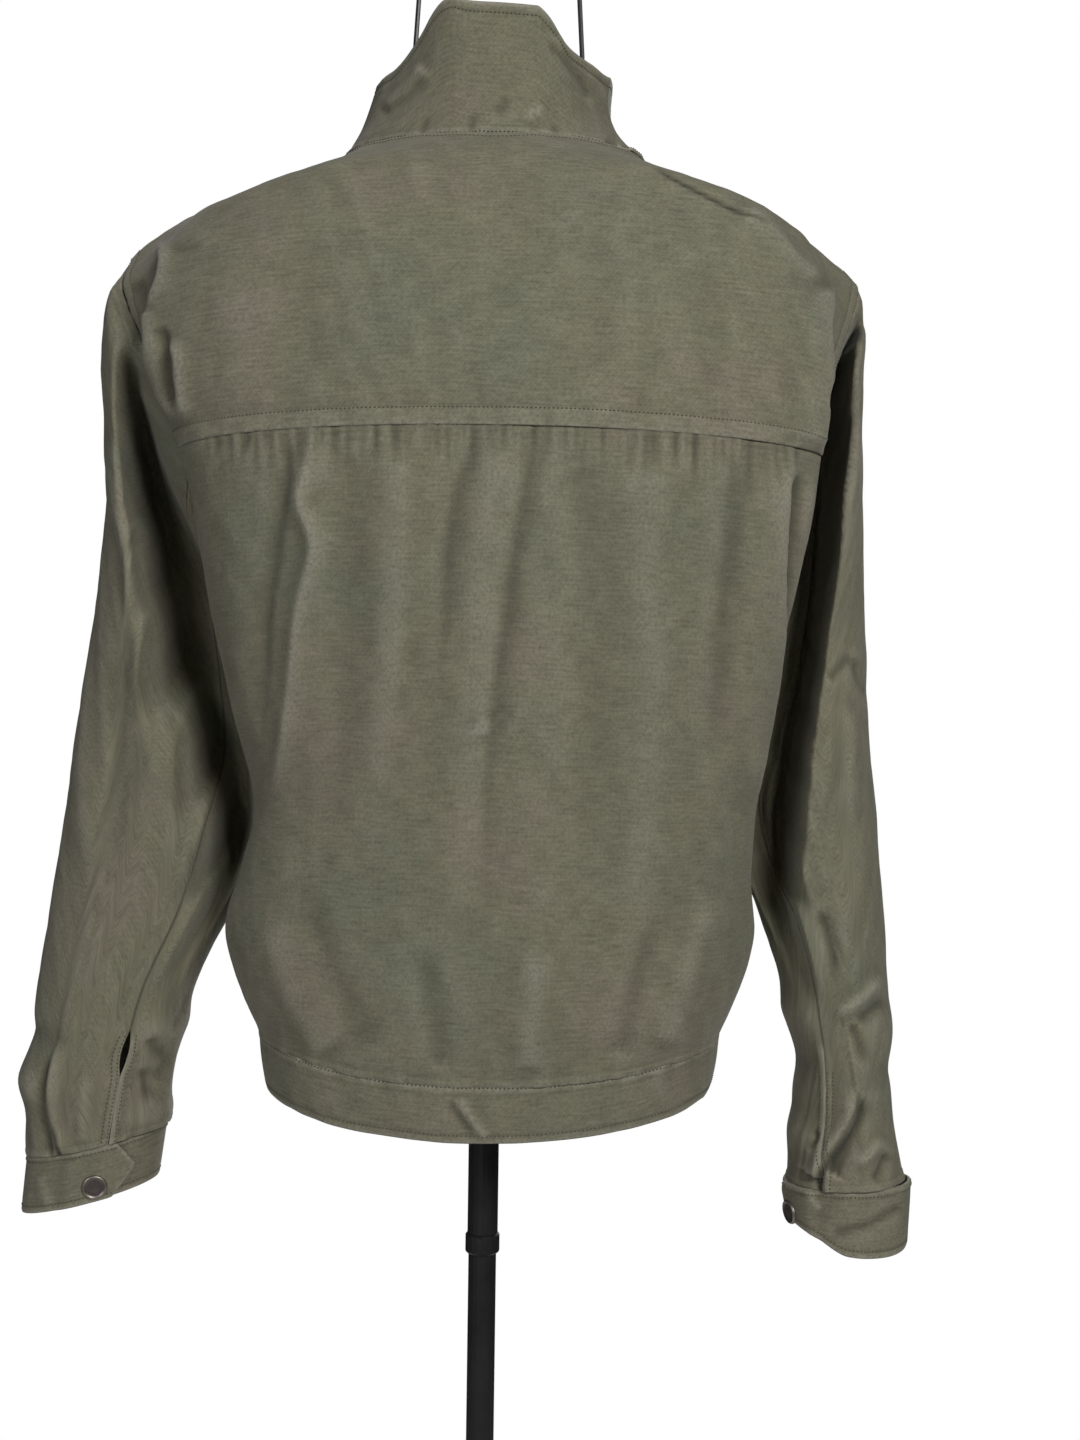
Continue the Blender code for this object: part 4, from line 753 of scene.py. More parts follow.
PANEL_FOLDS = [
    (4.6, 9, 20, 1.5, (0.0, 0.3), ((306, 424), (311, 440), (305, 476), (300, 500), (310, 529), (314, 552),
     (303, 595), (297, 630), (293, 676), (289, 710), (282, 758), (275, 790), (262, 840), (250, 890))),
    (-3.6, 15, 9, 1.7, (0.1, 0.3), ((292, 424), (286, 462), (284, 490), (279, 520), (270, 575), (263, 629),
     (262, 700), (258, 770))),
    (-2.4, 9, 14, 1.7, (0.0, 0.5), ((473, 425), (470, 457), (457, 496), (450, 538), (448, 572), (445, 630),
     (441, 676), (436, 740))),
    (-2.2, 9, 16, 1.7, (0.0, 0.5), ((535, 425), (528, 487), (519, 538), (510, 607), (500, 676), (494, 721),
     (488, 830), (485, 960), (483, 1060))),
    (2.2, 22, 22, SOFT, (0.1, 0.3), ((498, 430), (488, 520), (476, 640), (466, 800), (455, 960))),
    (-2.2, 22, 26, SOFT, (0.1, 0.3), ((577, 430), (592, 560), (598, 700), (588, 820), (575, 930))),
    (2.5, 24, 24, SOFT, (0.1, 0.3), ((640, 440), (650, 560), (652, 720), (640, 880), (620, 990))),
    (-3.2, 16, 18, SOFT, (0.0, 0.3), ((745, 450), (738, 520), (730, 600), (722, 700), (716, 780))),
    (2.0, 18, 18, SOFT, (0.1, 0.3), ((395, 430), (398, 520), (392, 640), (380, 760), (368, 880))),
    (-2.0, 18, 20, SOFT, (0.1, 0.3), ((345, 430), (352, 520), (350, 640), (338, 780), (322, 900))),
    (4.5, 20, 6, 1.7, (0.0, 0.2), ((795, 460), (788, 488), (782, 570), (780, 662), (777, 711), (774, 742),
     (766, 771), (760, 810))),
    (-4.5, 6, 8, 1.7, (0.1, 0.2), ((796, 470), (793, 510), (790, 570), (788, 640), (784, 700))),
    (3.0, 8, 10, 1.6, (0.1, 0.3), ((822, 420), (815, 461), (808, 500), (803, 536), (799, 575), (795, 600),
     (787, 640), (782, 680))),
    (-1.4, 5, 6, CREASED, (0.3, 0.3), ((494, 702), (505, 710), (516, 720))),
    (-1.2, 5, 6, CREASED, (0.3, 0.3), ((488, 716), (500, 722), (508, 734))),
    (1.4, 12, 12, SOFT, (0.3, 0.3), ((478, 720), (486, 736))),
    (-2.4, 18, 18, SOFT, (0.3, 0.2), ((300, 860), (320, 940), (350, 1010), (380, 1060))),
    (2.6, 16, 20, SOFT, (0.3, 0.1), ((262, 900), (280, 960), (302, 1010), (330, 1056))),
    (-2.4, 14, 16, SOFT, (0.3, 0.1), ((420, 940), (432, 1000), (440, 1070))),
    (2.2, 16, 16, SOFT, (0.3, 0.1), ((540, 940), (532, 1000), (528, 1075))),
    (-2.4, 14, 16, SOFT, (0.3, 0.1), ((660, 900), (640, 980), (622, 1060))),
    (2.4, 14, 18, SOFT, (0.3, 0.1), ((712, 880), (692, 960), (664, 1050))),
]
# The gathers that are seen singly: where, how long, how deep, and how far they lean.
STRONG_GATHERS = ((217, 26, 0.8, -4), (227, 20, 0.7, -3), (245, 30, 0.9, -6), (310, 42, -0.9, 2),
                  (332, 34, 0.8, 2), (360, 46, 1.2, 4), (375, 30, 0.9, 2), (395, 52, 1.3, 2),
                  (473, 60, 1.2, -2), (505, 34, 0.9, -3), (535, 64, 1.3, -4), (577, 40, 1.0, 3),
                  (602, 34, 0.9, 3), (655, 44, 1.0, 2), (675, 36, 0.9, 2), (695, 40, 1.0, 0),
                  (750, 46, 1.1, -3))


def seam_height(x, line):
    """The height of a seam on the photograph, at a place across it."""
    return float(np.interp(x, *np.array(line, float).T))


def gathers(line, start, stop, above, seed, strong=(), depth=1.3, length=(20, 66)):
    """Short creases that run down from a seam, the strong ones where they are seen."""
    chance = np.random.default_rng(seed)
    made, x = [], start
    while x < stop:
        made.append((x, chance.uniform(*length), depth * chance.uniform(0.5, 1.2),
                     chance.uniform(-4, 4)))
        x += chance.uniform(5.5, 11)
    folds = []
    for x, reach, deep, lean in made + list(strong):
        y = seam_height(x, line)
        wide = 2.3 + 0.03 * reach
        folds.append((-deep, wide, wide * 1.25, 1.8, (0.0, 0.95),
                      ((x, y - above), (x + lean * 0.3, y + 0.45 * reach), (x + lean, y + reach))))
    return folds


panel_gathers = gathers(YOKE_SEAM, 206, 800, 12, 3, STRONG_GATHERS)
print("folds:", len(SHOULDER_FOLDS) + len(PANEL_FOLDS), "gathers:", len(panel_gathers))

# %% The yoke and the back panel
TOPSTITCH = 10.0     # mm from the yoke's lower edge
FULLNESS = 1.25      # how much wider the panel is cut than it hangs
COLUMN_UNITS = 28


def back_piece(name, at, columns, folds, seed):
    """The smooth surface, its folds and its swelling."""
    column = graded(-ARM, ARM, COLUMN_UNITS / columns, COLUMN_UNITS / columns * 0.5, 1.2)
    grid = back_cloth(column, at)
    out = outward(grid)
    across, down = measured(grid)
    across = across - across[:, len(column) // 2:len(column) // 2 + 1]
    lift = lift_of(on_photo(grid), -out[..., 1], folds)
    edges = np.minimum(edge_distance(grid, "left"), edge_distance(grid, "right"))
    loose = smooth(edges / 12)
    lift = lift * (0.25 + 0.75 * smooth(edges / 6)) + rumple(across, down + at[0], seed) * loose
    return grid, out, lift, across, down, edges


yoke_at = graded(0, YOKE_END, 2.6, 0.75, 14)
grid, out, lift, run, down, edges = back_piece("back_yoke", yoke_at, 235, SHOULDER_FOLDS, 11)
below = edge_distance(grid, "bottom")
lift = lift * (0.35 + 0.65 * smooth(below / 10))
lift += seam_relief(below, run, TOPSTITCH, 21, 0.4, 0.3) + 0.1
sunk = lift_of(on_photo(grid), -2 * out[..., 1], SHOULDER_SEAM)
lift += (seam_relief(edges, down, ARM_ROW, 22, 0.2) + seam_relief(down, run, PLAIN_ROW, 23, 0.2)
         - 0.9 * sunk)
# Abraded seams, with painted shade in the shoulder seam's groove and the creases, and a painted highlight
# on the fold ridges.
wear_and_shading = (0.9 * seam_wear_and_shade(below, TOPSTITCH) + seam_wear_and_shade(edges, ARM_ROW)
        + 0.6 * seam_wear_and_shade(down, PLAIN_ROW))
wear_and_shading -= painted_fold_shading(lift, run, down) + 0.6 * sunk
add_piece("back_yoke", grid, out, lift, wear_and_shading, thick=1.0, grain_from="bottom")

panel_at = graded(YOKE_END - 5, HEM_AT, 4.2, 0.9, 26)
grid, out, lift, run, down, edges = back_piece("back_panel", panel_at, 385, PANEL_FOLDS, 31)
from_yoke = panel_at[:, None] - YOKE_END
above = edge_distance(grid, "bottom")
tucked = 1.0 - smooth((from_yoke + 1.2) / 2.4)
lift = lift * (0.1 + 0.9 * smooth(from_yoke / 34)) * smooth((above + 6) / 24)
drawn_in = lift_of(on_photo(grid), -out[..., 1], panel_gathers)
lift += drawn_in * (0.35 + 0.65 * smooth(from_yoke / 4)) + 0.1 - 0.6 * tucked
lift += (seam_relief(above, run, PLAIN_ROW, 32, 0.6)
         + seam_relief(edges, down, PLAIN_ROW, 33, 0.15))
lift += 0.8 * unevenness(run, above * 0.2, 9.0, 35) * np.exp(-above / 16)
# Abraded seams, with painted shade in the creases and gathers and a painted shadow along the yoke's edge,
# and a painted highlight on the fold ridges.
wear_and_shading = 0.7 * seam_wear_and_shade(above, PLAIN_ROW) + 0.6 * seam_wear_and_shade(edges, PLAIN_ROW)
wear_and_shading -= (painted_fold_shading(lift, run, down) + 0.08 * np.clip(-drawn_in, 0, 2)
         + 0.3 * bell(from_yoke, 1.1))
add_piece("back_panel", grid, out, lift, wear_and_shading, thick=1.1, fullness=FULLNESS)

# %% [markdown]
# ## The fronts
# The photograph doesn't show the fronts, so they are finished plainly, as a jacket of this kind
# has them: two panels that close with snaps, the right over the left, with a soft bust fold and
# the same slight swelling as the back.

# %% The fronts
FRONT_FOLDS = [
    (4.5, 18, 18, SOFT, (0.1, 0.2), ((-90, -1200), (-96, -1100), (-92, -1000), (-100, -920))),
    (4.5, 18, 18, SOFT, (0.1, 0.2), ((92, -1190), (98, -1090), (90, -990), (98, -920))),
    (-3.0, 16, 16, SOFT, (0.2, 0.2), ((-50, -1100), (-58, -990), (-50, -910))),
    (-3.0, 16, 16, SOFT, (0.2, 0.2), ((54, -1090), (58, -980), (52, -905))),
    (-2.6, 9, 12, 1.7, (0.1, 0.4), ((-176, -1215), (-150, -1190), (-124, -1178))),
    (-2.6, 9, 12, 1.7, (0.1, 0.4), ((178, -1215), (152, -1192), (126, -1182))),
    (-2.2, 8, 10, 1.7, (0.1, 0.4), ((-170, -1180), (-140, -1150), (-110, -1142))),
    (-2.2, 8, 10, 1.7, (0.1, 0.4), ((172, -1176), (142, -1146), (112, -1140))),
    (2.0, 14, 14, SOFT, (0.2, 0.3), ((-140, -1330), (-120, -1290), (-112, -1240))),
    (2.0, 14, 14, SOFT, (0.2, 0.3), ((140, -1326), (120, -1286), (112, -1238))),
    (2.4, 12, 14, SOFT, (0.3, 0.1), ((-120, -960), (-112, -915), (-104, -878))),
    (2.4, 12, 14, SOFT, (0.3, 0.1), ((118, -958), (110, -914), (102, -876))),
    (-2.0, 10, 12, SOFT, (0.3, 0.1), ((-76, -950), (-72, -905), (-70, -868))),
    (-2.0, 10, 12, SOFT, (0.3, 0.1), ((78, -950), (74, -905), (70, -868))),
]
PLACKET = 34.0      # mm: width of the doubled front edge


def plan(points):
    """Places seen from the front, as (x, -z) in millimetres."""
    return np.stack([points[..., 0], -points[..., 2]], axis=-1)


front_at = graded(0, HEM_AT, 3.3, 0.9, 20)
for side, seed in (("left", 41), ("right", 51)):
    flip = side == "left"
    column = np.concatenate([graded(0, FRONT_CENTRE, 0.155, 0.06, 0.8)[:-1],
                             np.linspace(FRONT_CENTRE, FRONT_EDGE, 12)])
    grid = front_cloth(side, column, front_at)
    out = outward(grid, flip)
    run, down = measured(grid)
    above, to_edge = down[-1:] - down, run[:, -1:] - run
    lift = lift_of(plan(grid), out[..., 1], FRONT_FOLDS)
    lift = lift * smooth(run / 10) * (0.2 + 0.8 * smooth((to_edge - 20) / 50))
    lift += rumple(run, down, seed, 0.9) * smooth(run / 12) * smooth(to_edge / 60)
    lift += (seam_relief(run, down, PLAIN_ROW, seed + 2, 0.15)
             + seam_relief(above, run, PLAIN_ROW, seed + 3))
    lift += seam_relief(down, run, PLAIN_ROW, seed + 4, 0.15)
    if side == "right":
        lift += (0.5 * smooth((PLACKET + 1 - to_edge) / 2)
                 - 0.4 * bell(to_edge - PLACKET, STITCH_DIP))
    # Abraded seams and edges, and a painted highlight where the folds stand up.
    wear_and_shading = (0.6 * seam_wear_and_shade(run, PLAIN_ROW) + 0.7 * seam_wear_and_shade(above, PLAIN_ROW)
            + 0.6 * seam_wear_and_shade(down, PLAIN_ROW) + 0.7 * bell(to_edge, 1.6) + 0.12 * smooth(lift / 6))
    add_piece("front_" + side, grid, out, lift, wear_and_shading, thick=1.2, flip=flip, held="hung")

# %% [markdown]
# ## Sleeves in two pieces
# Each sleeve hangs down along the body.  Its upper piece takes in the outer side, and a narrower
# under piece closes it towards the body.  Round the sleeve, a place is given by an angle from the
# outer line over the back.  At the top the sleeve follows the armhole itself, so cap and body
# meet edge to edge.  The back seam ends in a slit above the cuff.

# %% Measurements of the sleeves and cuffs
# Rings of the sleeves below the armhole: the outer and inner points, the middle and half depth
# along Y, how far the back of the ring lies above its middle, and the turn of the sleeve seams.
# ridge: the angle where the empty sleeve folds over at its back.  hollow: how far it turns in there.
RING_COLUMNS = ("name", "x_out", "z_out", "x_in", "z_in", "y_mid", "depth", "lift", "turn", "ridge",
                "hollow")
SLEEVE_LEFT = (
    ("cap", 237, 1322, 168, 1145, 1, 62, 0, 0, 58, 0.35),
    ("cap_2", 242, 1288, 166, 1126, 4, 64, 0, 0, 58, 0.8),
    ("bicep", 241, 1240, 161, 1104, 8, 63, 0, 0, 58, 1.0),
    ("bicep_2", 240, 1196, 156, 1082, 10, 61, 0, 0, 66, 1.0),
    ("upper", 246, 1140, 149, 1056, 12, 59, 0, 0, 78, 1.0),
    ("elbow", 256, 1070, 143, 1024, 14, 57, 0, 0, 103, 1.0),
    ("elbow_2", 264, 1010, 142, 985, 14, 55, 0, 0, 120, 1.0),
    ("forearm", 274, 945, 157, 944, 14, 50, 0, 0, 132, 0.5),
    ("wrist", 281, 885, 183, 890, 10, 44, 0, -4, 132, 0),
    ("wrist_2", 286, 825, 196, 832, 6, 40, 0, -8, 132, 0),
    ("cuff_seam", 284, 785, 199, 805, 4, 36, 0, -14, 132, 0),
)
SLEEVE_RIGHT = (
    ("cap", 228.5, 1314, 175, 1146, 5, 58, 0, 0, 79, 0.3),
    ("cap_2", 229.5, 1280, 179, 1128, 12, 57, 0, 0, 80, 0.85),
    ("bicep", 231, 1236, 176, 1106, 18, 56, 0, 0, 82, 1.0),
    ("bicep_2", 232.5, 1194, 171, 1084, 20, 56, 0, 0, 83, 1.0),
    ("upper", 234, 1136, 163, 1058, 21, 56, 0, 0, 87, 1.0),
    ("elbow", 237, 1070, 154, 1024, 20, 56, 0, 0, 97, 1.0),
    ("elbow_2", 243, 1010, 153, 985, 18, 54, 0, 0, 106, 1.0),
    ("forearm", 248, 945, 169, 944, 14, 50, 0, 0, 118, 0.5),
    ("wrist", 251, 885, 187, 886, 8, 45, 0, 0, 118, 0),
    ("wrist_2", 254, 826, 193, 822, 4, 41, 0, 0, 118, 0),
    ("cuff_seam", 261, 779, 189, 776, 0, 37, 0, 0, 118, 0),
)
CUFF_LEFT = (
    ("top", 284, 784, 199, 804, 4, 34, 0, 0, 90, 0),
    ("bottom", 287, 750, 203, 772, 4, 32, 0, 0, 90, 0),
)
CUFF_RIGHT = (
    ("top", 265, 777, 187, 775, 0, 35, 0, 0, 90, 0),
    ("bottom", 264, 741, 191, 747, 0, 33, -7, 0, 90, 0),
)
SEAM_BACK, SEAM_FRONT = 122.0, 215.0       # degrees round the sleeve from its outer line
SLIT_TOP, SLIT_GAP, SLIT_OPEN = 868.0, {"left": 4.6, "right": 0.0}, 0.4
CUFF_TIP_AT = {"left": 128.0, "right": 183.0}
# The hollow: degrees it takes to turn in, where it ends, degrees it takes to end, and how far past
# the sleeve's middle it goes, as a share of its depth.
HOLLOW_TURN, HOLLOW_END, HOLLOW_EASE, HOLLOW_PAST = 14.0, 165.0, 26.0, 0.2
# The tab's length, how far it lies over the other end, the wrist's radius, all in millimetres, and
# the degrees over which the tab rises.
CUFF_TAB, CUFF_LAP_RISE, WRIST_RADIUS, CUFF_RISE_OVER = 30.0, 2.5, 38.0, 14.0

# %% Sleeve surfaces
def ring_points(ring, angles, side):
    """A ring of a sleeve or cuff, at angles from its outer line round its back."""
    turn = np.radians(angles + ring["turn"] * np.sin(np.radians(angles) / 2) ** 2)
    span, round_it = (1 + np.cos(turn)) / 2, np.mod(angles, 360)
    fold = ring["hollow"] * smooth((round_it - ring["ridge"]) / HOLLOW_TURN) * smooth(
        (HOLLOW_END - round_it) / HOLLOW_EASE)
    return mirrored(np.stack([ring["x_in"] + (ring["x_out"] - ring["x_in"]) * span,
                              ring["y_mid"] - ring["depth"] * (
                                  np.sin(turn) - fold * (np.sin(turn) + HOLLOW_PAST)),
                              ring["z_in"] + (ring["z_out"] - ring["z_in"]) * span
                              + ring["lift"] * np.sin(turn)], axis=1), side)


ARMHOLES = {}
for side, end in (("left", -ARM), ("right", ARM)):
    levels = np.linspace(0, UNDERARM_AT, 200)
    ARMHOLES[side] = (back_cloth(np.array([float(end)]), levels)[:, 0],
                      front_cloth(side, np.array([0.0]), levels)[::-1, 0])


def armhole_points(side, angles):
    """The armhole as the sleeve's first ring: the back of it down, then the front of it up."""
    turn, (back, front) = np.mod(angles, 360), ARMHOLES[side]
    return np.where((turn <= 180)[:, None], along(back, turn / 180),
                    along(front, turn / 180 - 1))


def sleeve_rings(side):
    """The rings of a sleeve, and how far down the sleeve the armhole and each ring lies."""
    table = named(RING_COLUMNS, SLEEVE_LEFT if side == "left" else SLEEVE_RIGHT)
    round_it = np.linspace(0, 360, 73)[:-1]
    middles = [armhole_points(side, round_it).mean(axis=0)]
    middles += [ring_points(ring, round_it, side).mean(axis=0) for ring in table]
    return table, run_of(np.array(middles))


def sleeve_cloth(side, angles, at):
    """The sleeve at angles round it and distances from the armhole."""
    table, knots = sleeve_rings(side)
    rows = [armhole_points(side, angles)] + [ring_points(ring, angles, side) for ring in table]
    return between(knots, np.array(rows), at)


SLEEVE_LENGTH = {side: float(sleeve_rings(side)[1][-1]) for side in SIDES}
print("sleeve lengths in mm:", {side: round(v) for side, v in SLEEVE_LENGTH.items()})

# %% Folds of the sleeves
LEFT_BACK_FOLDS = [
    (2.5, 8, 10, 1.7, (0.1, 0.3), ((104, 430), (112, 479), (125, 539), (135, 583), (144, 627), (154, 678),
     (161, 720), (167, 770))),
    (2.5, 14, 14, SOFT, (0.2, 0.3), ((70, 640), (72, 720), (84, 800), (92, 880))),
    (-2.5, 12, 16, SOFT, (0.3, 0.3), ((110, 640), (116, 720), (118, 800), (112, 900))),
    (5.0, 5, 9, 1.6, (0.3, 0.05), ((62, 1035), (55, 1060), (50, 1093), (51, 1118), (57, 1137), (61, 1161))),
    (-5.5, 8, 4, 1.6, (0.3, 0.05), ((50, 1050), (44, 1090), (44, 1120), (50, 1160))),
    (-2.6, 7, 9, 1.7, (0.2, 0.4), ((149, 1035), (156, 1048), (166, 1060))),
    (-2.6, 6, 9, 1.7, (0.2, 0.4), ((143, 1066), (146, 1086), (149, 1106))),
    (-3.6, 5, 7, 1.6, (0.2, 0.3), ((194, 990), (182, 1012), (168, 1035))),
    (-2.6, 7, 9, 1.7, (0.2, 0.4), ((172, 1051), (164, 1068), (154, 1086))),
    (1.8, 8, 8, SOFT, (0.3, 0.2), ((88, 1060), (84, 1110), (82, 1150))),
]
RIGHT_BACK_FOLDS = [
    (2.5, 10, 10, SOFT, (0.1, 0.3), ((850, 330), (852, 420), (848, 520), (846, 620))),
    (-2.0, 4, 6, 1.5, (0.2, 0.3), ((829, 682), (841, 668), (854, 653))),
    (-2.2, 5, 7, 1.5, (0.2, 0.4), ((854, 655), (857, 674), (864, 692), (871, 706))),
    (2.0, 8, 8, SOFT, (0.2, 0.3), ((846, 700), (850, 760), (848, 830))),
    (-4.0, 6, 8, 1.7, (0.2, 0.3), ((818, 907), (826, 932), (832, 954), (836, 994))),
    (4.2, 7, 7, 1.7, (0.3, 0.3), ((883, 972), (868, 990), (852, 1005), (832, 1017))),
    (-3.6, 6, 7, 1.7, (0.2, 0.4), ((852, 1021), (861, 1045), (869, 1070))),
    (-3.4, 6, 7, 1.7, (0.3, 0.3), ((888, 995), (872, 1012), (856, 1024))),
    (6.5, 14, 4, 1.6, (0.2, 0.0), ((855, 1080), (854, 1108), (847, 1128), (838, 1142), (827, 1159),
     (817, 1177))),
    (-6.0, 4, 9, 1.6, (0.2, 0.0), ((866, 1094), (861, 1118), (852, 1135), (841, 1154), (831, 1174))),
    (-2.6, 4, 4, 1.5, (0.3, 0.3), ((812, 1126), (819, 1135), (816, 1143), (809, 1149))),
    (3.4, 6, 6, 1.7, (0.3, 0.3), ((886, 1136), (870, 1153), (855, 1167))),
    (-3.6, 6, 6, 1.7, (0.2, 0.3), ((892, 1150), (884, 1170), (874, 1186))),
]
LEFT_FRONT_FOLDS = [
    (3.5, 14, 14, SOFT, (0.1, 0.3), ((-226, -1250), (-222, -1150), (-212, -1060), (-216, -980))),
    (-3.0, 9, 12, 1.7, (0.1, 0.3), ((-196, -1200), (-190, -1130), (-184, -1070))),
    (-2.6, 8, 10, 1.7, (0.2, 0.3), ((-160, -1030), (-190, -1010), (-224, -1012))),
    (-2.4, 8, 10, 1.7, (0.2, 0.3), ((-236, -940), (-206, -930), (-182, -938))),
    (2.6, 8, 8, 1.7, (0.3, 0.1), ((-250, -870), (-244, -830), (-246, -790))),
]
RIGHT_FRONT_FOLDS = [
    (3.5, 14, 14, SOFT, (0.1, 0.3), ((212, -1240), (206, -1150), (200, -1060), (204, -980))),
    (-3.0, 9, 12, 1.7, (0.1, 0.3), ((186, -1190), (184, -1120), (178, -1060))),
    (-2.6, 8, 10, 1.7, (0.2, 0.3), ((170, -1030), (192, -1012), (218, -1016))),
    (-2.4, 8, 10, 1.7, (0.2, 0.3), ((226, -930), (206, -920), (188, -930))),
    (2.6, 8, 8, 1.7, (0.3, 0.1), ((226, -870), (222, -830), (224, -785))),
]
SLEEVE_FOLDS = {"left": (LEFT_BACK_FOLDS, LEFT_FRONT_FOLDS),
                "right": (RIGHT_BACK_FOLDS, RIGHT_FRONT_FOLDS)}


def slit_opened(grid, edge, side):
    """Part the back seam below the slit's top; edge is the column at the seam."""
    away = grid[:, edge + (1 if edge == 0 else -1)] - grid[:, edge]
    away /= np.linalg.norm(away, axis=1, keepdims=True)
    height = grid[:, edge, 2]
    share = np.clip((SLIT_TOP - height) / (SLIT_TOP - height[-1]), 0, 1)
    apart = SLIT_GAP[side] / 2 * np.sin(np.pi * np.clip(share / SLIT_OPEN, 0, 1))
    run = edge_distance(grid, "left" if edge == 0 else "right")
    return grid + away[:, None] * (apart[:, None] * np.exp(-run / 14))[..., None]


WRIST_BULGES = {"left": [(5.0, -282, 832, 22, 13), (3.5, -204, 812, 16, 11), (3.0, -196, 866, 16, 12),
                         (-2.5, -276, 862, 20, 9)],
                "right": [(1.5, 250, 872, 18, 13), (-1.5, 250, 848, 18, 9), (3.0, 188, 880, 14, 12),
                          (3.0, 196, 806, 16, 12), (-2.5, 192, 850, 14, 12)]}
POCKET_EDGE = ((872, 300), (866, 322), (857, 345), (853, 375), (853, 420), (850, 460), (844, 500),
               (838, 560), (828, 620), (812, 740), (801, 860), (790, 930))
POCKET_FLOOR, POCKET_DEPTH = 22.0, 58.0     # mm; the edge is where the lit strip outside it begins
# Each pleat line is a shallow dent with painted shade along it.
PLEATS = {"left": [(1.0, 4.4, 3.0, SOFT, (0.25, 0.0), ((56, 1050), (51, 1072), (50, 1093), (51, 1118),
                                                        (57, 1137), (61, 1163)))],
          "right": [(1.0, 3.0, 4.4, SOFT, (0.2, 0.0), ((858, 1086), (856, 1108), (848, 1128),
                                                       (839, 1144), (829, 1160), (819, 1180),
                                                       (822, 1200)))]}


def bulge_of(grid, side):
    """Swellings and dips of the pushed-up wrist, where they change its outline: height in
    millimetres, x and z of the middle, and the reach across and down."""
    return sum(high * np.exp(-((grid[..., 0] - x) / wide) ** 2 - ((grid[..., 2] - z) / tall) ** 2)
               for high, x, z, wide, tall in WRIST_BULGES[side])


def pocket_of(grid, down):
    """The inner side of the right sleeve drops away from the lit strip outside it."""
    place = on_photo(grid)
    edge = np.interp(place[..., 1], *np.array(POCKET_EDGE, float).T[::-1])
    return (smooth((edge + 4 - place[..., 0]) / 13) * smooth((place[..., 1] - 306) / 34)
            * smooth((950 - place[..., 1]) / 110) * smooth(down / 7))


# %% The sleeve pieces
for side, seed in (("left", 61), ("right", 81)):
    flip = side == "right"
    length = SLEEVE_LENGTH[side]
    at = graded(0, length, 2.7, 0.9, 22)
    for part, start, stop, columns in (("upper", SEAM_FRONT, SEAM_BACK + 360, 165),
                                       ("under", SEAM_BACK, SEAM_FRONT, 70)):
        angles = graded(start, stop, (stop - start) / columns, 0.8, 8)
        grid = sleeve_cloth(side, angles, at)
        grid = slit_opened(grid, -1 if part == "upper" else 0, side)
        out = outward(grid, flip)
        run, down = measured(grid)
        sunk = pocket_of(grid, down) if side == "right" else 0
        if side == "right":
            sunk = sunk * np.clip(POCKET_FLOOR - grid[..., 1], 0, POCKET_DEPTH)
            grid[..., 1] += sunk
            out = outward(grid, flip)
        above, edges = down[-1:] - down, np.minimum(run, run[:, -1:] - run)
        behind, before = SLEEVE_FOLDS[side]
        lift = lift_of(on_photo(grid), -out[..., 1], behind)
        lift += lift_of(plan(grid), out[..., 1], before)
        lift += 1.2 * rumple(run, down, seed) * smooth(edges / 8) * smooth(down / 10)
        lift = lift * smooth((above + 3) / 12) * (0.4 + 0.6 * smooth(down / 12))
        lift *= 0.5 + 0.5 * smooth(edges / 5)
        tucks = 1.1 * unevenness(run, above * 0.12, 8.0, seed + 3) * np.exp(-above / 22)
        plain = smooth((grid[..., 2] - SLIT_TOP) / 8 + 1)
        lift += tucks - 0.35 * plain * bell(edges, 0.8)
        lift += (1 - plain) * seam_relief(edges, down, BAND_ROW, seed + 4, 0.25, 0.2)
        pleat = lift_of(on_photo(grid), -out[..., 1], PLEATS[side])
        lift += bulge_of(grid, side) - 2.2 * pleat
        lift += seam_relief(above, run, BAND_ROW, seed + 5, 0.4, 0.1)
        lift += seam_relief(down, run, ARM_ROW, seed + 6, 0.3)
        # Abraded seams, with painted shade in the closed back seam's groove, the creases, the pleats and
        # the pocket, and a painted highlight on the fold ridges.
        wear_and_shading = ((1 - plain) * seam_wear_and_shade(edges, BAND_ROW) - 0.5 * plain * bell(edges, 0.8)
                + 0.5 * seam_wear_and_shade(down, ARM_ROW) + 0.6 * seam_wear_and_shade(above, BAND_ROW)
                - painted_fold_shading(lift, run, down) - 0.9 * pleat - 0.5 * smooth(sunk / 30))
        add_piece("sleeve_%s_%s" % (side, part), grid, out, lift, wear_and_shading, thick=1.1, flip=flip,
                  held="hung")
        seed += 10

# %% [markdown]
# ## The stand collar
# The collar is cut double and stands up by its own stiffness.  It follows the neck seam from the
# right front edge round the back to the left, and leans in at the sides of the neck.  Its height
# and lean are given at thirteen places along it.

